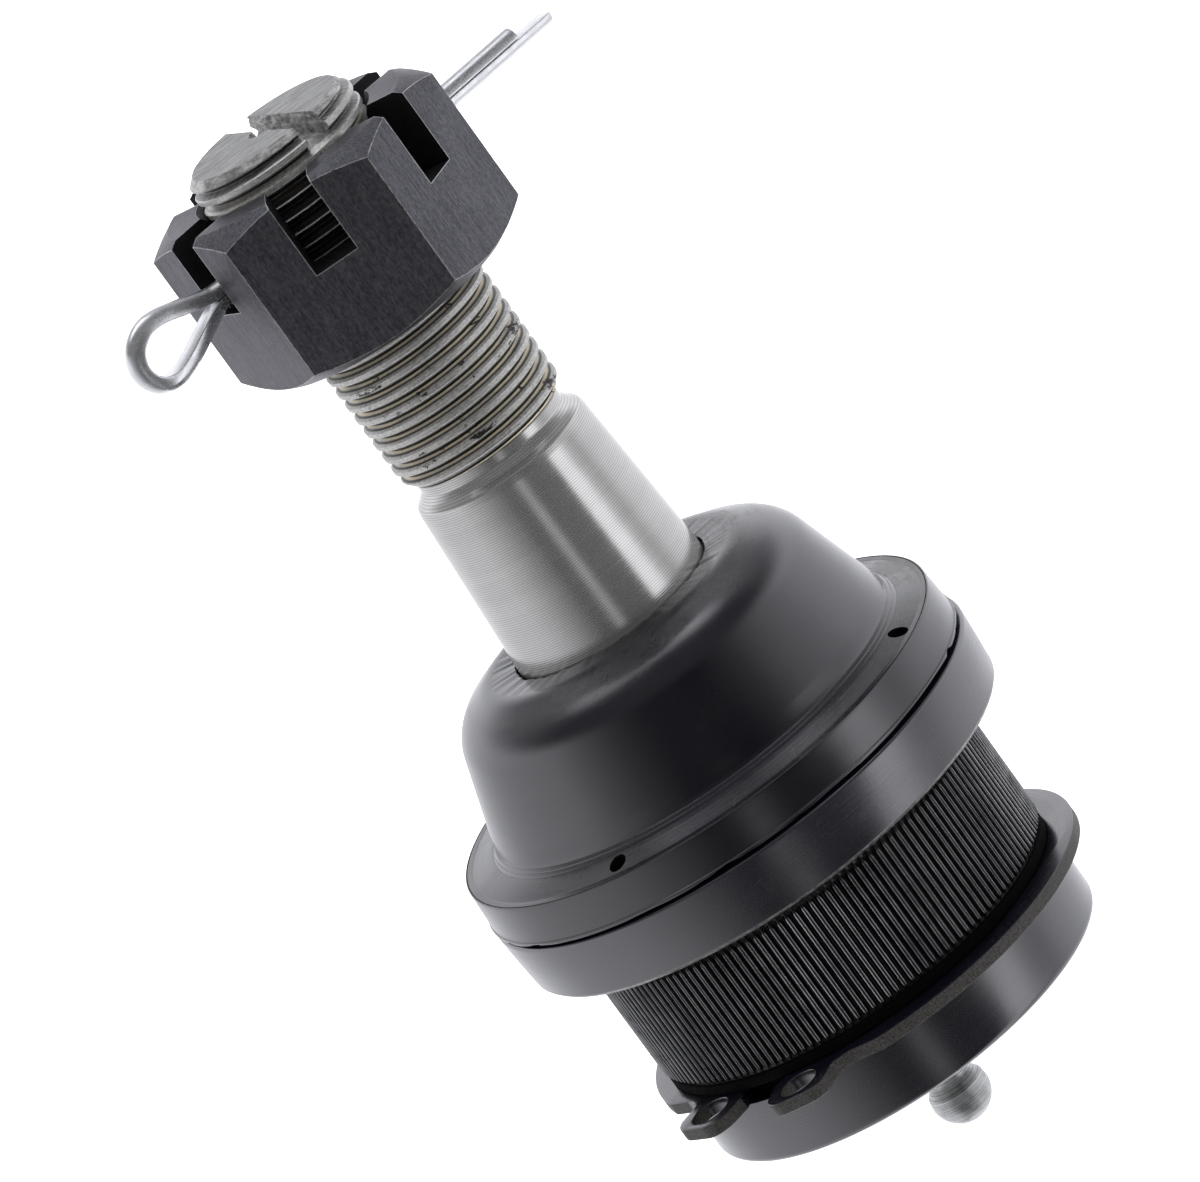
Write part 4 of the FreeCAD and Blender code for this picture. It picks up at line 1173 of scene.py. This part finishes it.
def boot_upper(rubber):
    """The bell's shoulder and the lip round the taper."""
    outer = rounded([(SEAM_RADIUS, BELL_SEAM), (19.75, 25.3, 6.5), (15.0, BOOT_TOP, 4.0),
                     (11.25, 27.3, 0.2), (taper_radius(LIP_FOOT) + 0.15, LIP_FOOT)], 14)
    inner = [(10.5, 24.0), (13.0, LIP_FOOT), (18.2, 22.8), (SEAM_RADIUS - BOOT_WALL, BELL_SEAM)]
    obj = turned("boot_upper", outer + inner, 400, wobble=boot_lip_wobble)
    return paint(face_normals_out(obj), rubber)


# Stage

def area_light(name, place, aim, size, power, size_y):
    data = bpy.data.lights.new(name, "AREA")
    data.shape = "RECTANGLE"
    data.size = size
    data.size_y = size_y
    data.energy = power
    lamp = bpy.data.objects.new(name, data)
    bpy.context.scene.collection.objects.link(lamp)
    lamp.location = place
    lamp.rotation_euler = (Vector(aim) - Vector(place)).to_track_quat("-Z", "Y").to_euler()
    lamp.visible_camera = False
    lamp.visible_glossy = False
    return lamp


def camera():
    place = Vector(CAMERA_PLACE) * MM
    aim = Vector(CAMERA_AIM) * MM
    back = (place - aim).normalized()
    right = Vector((0, 0, 1)).cross(back).normalized()
    up = back.cross(right)
    across = right * math.cos(CAMERA_ROLL) + up * math.sin(CAMERA_ROLL)
    above = up * math.cos(CAMERA_ROLL) - right * math.sin(CAMERA_ROLL)
    data = bpy.data.cameras.new("photo_camera")
    data.sensor_fit = "HORIZONTAL"
    data.sensor_width = 36.0
    data.lens = CAMERA_LENS
    data.clip_start = 0.05
    data.clip_end = 50
    view = bpy.data.objects.new("photo_camera", data)
    bpy.context.scene.collection.objects.link(view)
    turn = Matrix((across, above, back)).transposed().to_4x4()
    view.matrix_world = Matrix.Translation(place) @ turn
    bpy.context.scene.camera = view


def floor():
    """A pale floor that looks white to the camera and still shows the object's shadow."""
    level = cad_box[0][2] / MM - 0.05
    size = 6000
    obj = make_object("floor", [(-size, -size, level), (size, -size, level), (size, size, level),
                                (-size, size, level)], [(0, 1, 2, 3)])
    material = bpy.data.materials.new("floor")
    tree = fresh_tree(material)
    output = tree.nodes.new("ShaderNodeOutputMaterial")
    camera_ray = add_node(tree, "ShaderNodeLightPath")["Is Camera Ray"]
    strength = calculated(tree, "ShaderNodeMath", "MULTIPLY", camera_ray, FLOOR_GLOW)
    diffuse = add_node(tree, "ShaderNodeBsdfDiffuse", {0: (0.82, 0.82, 0.82, 1)})
    glow = add_node(tree, "ShaderNodeEmission", {0: (1, 1, 1, 1), 1: strength[0]})
    both = add_node(tree, "ShaderNodeAddShader", {0: diffuse[0], 1: glow[0]})
    tree.links.new(both[0], output.inputs[0])
    obj.data.materials.append(material)
    obj.visible_glossy = False
    return obj


# Brightness of the studio by compass direction, as shiny surfaces see it. Degrees run from the
# side the photograph was taken from: to the right they are positive. A softbox stands low at the
# right, the room is bright behind and dark in front, but for one narrow strip straight ahead.
# Above the walls the back stays half bright, and a softbox hangs overhead, a little behind.
STUDIO_LOW = ((-180, 1.5), (-150, 1.25), (-120, 0.92), (-80, 0.80), (-60, 0.58), (-40, 0.30),
              (-20, 0.05), (-9, 0.05), (0, 0.48), (9, 0.05), (34, 0.06), (42, 0.14), (47, 1.45),
              (60, 1.45), (70, 0.70), (82, 0.50), (100, 0.90), (130, 1.15), (155, 1.4), (180, 1.5))
STUDIO_HIGH = ((-180, 1.15), (-150, 1.3), (-120, 1.15), (-80, 0.92), (-60, 0.48), (-40, 0.18),
               (-20, 0.04), (20, 0.01), (40, 0.13), (60, 0.40), (80, 0.78), (100, 1.15), (120, 1.3),
               (150, 1.35), (180, 1.15))
UPPER_LEVEL = 0.42
CEILING_FRONT = 0.12
CEILING_BACK = 2.3
STUDIO_GAIN = 2.0
STUDIO_TINT = (0.975, 0.98, 1.035)


def world():
    """White to the camera, a plain level for matt surfaces and the studio for shiny ones."""
    sky = bpy.data.worlds.new("studio")
    bpy.context.scene.world = sky
    tree = fresh_tree(sky)
    output = tree.nodes.new("ShaderNodeOutputWorld")
    place = add_node(tree, "ShaderNodeTexCoord")["Generated"]
    axes = add_node(tree, "ShaderNodeSeparateXYZ", {0: place})

    def share(value, low, high):
        return add_node(tree, "ShaderNodeMapRange",
                        {"Value": value, "From Min": low, "From Max": high})["Result"]

    front = calculated(tree, "ShaderNodeMath", "MULTIPLY", axes["Y"], -1.0)[0]
    compass = calculated(tree, "ShaderNodeMath", "ARCTAN2", axes["X"], front)[0]
    round_trip = share(compass, -math.pi, math.pi)

    def grey(level):
        return tuple(level / STUDIO_GAIN * tint for tint in STUDIO_TINT)

    def panorama(levels):
        ramp = tree.nodes.new("ShaderNodeValToRGB")
        tree.links.new(round_trip, ramp.inputs[0])
        stops = ramp.color_ramp.elements
        while len(stops) < len(levels):
            stops.new(0.5)
        for stop, (degrees, level) in zip(stops, levels):
            stop.position = degrees / 360 + 0.5
            stop.color = grey(level) + (1,)
        return ramp.outputs[0]

    def blended(axis, low, high, first, second):
        return mixed(tree, share(axes[axis], low, high), first, second)

    walls = blended("Z", -0.08, 0.22, panorama(STUDIO_LOW), panorama(STUDIO_HIGH))
    upper = blended("Y", -0.05, 0.5, grey(CEILING_FRONT), grey(UPPER_LEVEL))
    room = blended("Z", 0.34, 0.56, walls, upper)
    ceiling = blended("Y", -0.15, 0.2, grey(CEILING_FRONT), grey(CEILING_BACK))
    room = blended("Z", 0.86, 0.95, room, ceiling)

    def background(colour, strength):
        return add_node(tree, "ShaderNodeBackground", {0: colour, 1: strength})[0]

    rays = add_node(tree, "ShaderNodeLightPath")

    def choose(ray, otherwise, seen):
        return add_node(tree, "ShaderNodeMixShader", {0: rays[ray], 1: otherwise, 2: seen})[0]

    matt = background((0.97, 0.985, 1.0, 1), WORLD_LEVEL)
    shiny = choose("Is Glossy Ray", matt, background(room, STUDIO_GAIN))
    seen = choose("Is Camera Ray", shiny, background((1.0, 1.0, 1.0, 1), 1.0))
    tree.links.new(seen, output.inputs[0])


def build():
    shade = vent_shade()

    shaft = stud_shaft(ground_steel())
    thread = stud_thread(thread_steel(), turned_face(), cut_steel())
    nut = castle_nut(black_oxide(), slot_shade_black())
    pin = cotter_pin(zinc())
    for obj, slot in ((shaft, "stud_steel"), (thread, "stud_steel"), (nut, "nut_black"),
                      (pin, "pin_zinc")):
        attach(obj, "stud")
    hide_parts("ball_stud")
    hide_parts("castle_nut")
    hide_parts("cotter_pin")

    coat = black_coat()
    shell = housing_shell(coat, bright_edge(), shade) + [knurl(knurl_coat())]
    for obj in shell:
        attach(obj, "housing")
    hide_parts("housing")

    cover = cover_plate(coat)
    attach(cover, "housing")
    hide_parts("cover_plate")

    fitting = grease_fitting(fitting_zinc())
    for obj in fitting:
        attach(obj, "housing")
    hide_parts("grease_fitting")

    ring = snap_ring(black_coat("ring_coat", edge=0.14), sheared_edge())
    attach(ring, "housing")
    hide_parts("snap_ring")

    rubber = boot_rubber()
    lower, vents = boot_lower(rubber)
    cut(lower, vents)
    # The small holes' walls and floors and the fine line along the rim's top edge are painted near
    # black as shade.
    paint_faces(lower, [rubber, shade],
                lambda at, normal: 1 if in_vent(at, normal) or in_groove(at, normal) else 0)
    upper = boot_upper(rubber)
    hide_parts("dust_boot")
    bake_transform(lower)
    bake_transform(upper)

    inner_steel = dark_steel()
    for node in ("half_ball_bearing", "pressure_plate", "disc_spring", "boot_base_ring",
                 "boot_neck_ring", "check_ball", "check_spring"):
        paint(frame["nodes"][node], inner_steel)
    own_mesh(frame["nodes"]["check_spring"])


def light_stage():
    camera()
    aim = Vector((0, 0, 28 * MM))
    lamps = [
        area_light("right_box", (0.55, -0.40, 0.35), aim, 0.4, 4.0, 0.6),
        area_light("left_box", (-0.60, -0.05, 0.30), aim, 0.4, 3.0, 0.6),
        area_light("top_box", (0.0, 0.15, 0.85), aim, 0.7, 6.0, 0.7),
        area_light("back_box", (0.1, 0.75, 0.40), aim, 0.6, 3.0, 0.5),
    ]
    floor()


build()
world()
light_stage()
bpy.context.scene.view_settings.view_transform = "Standard"
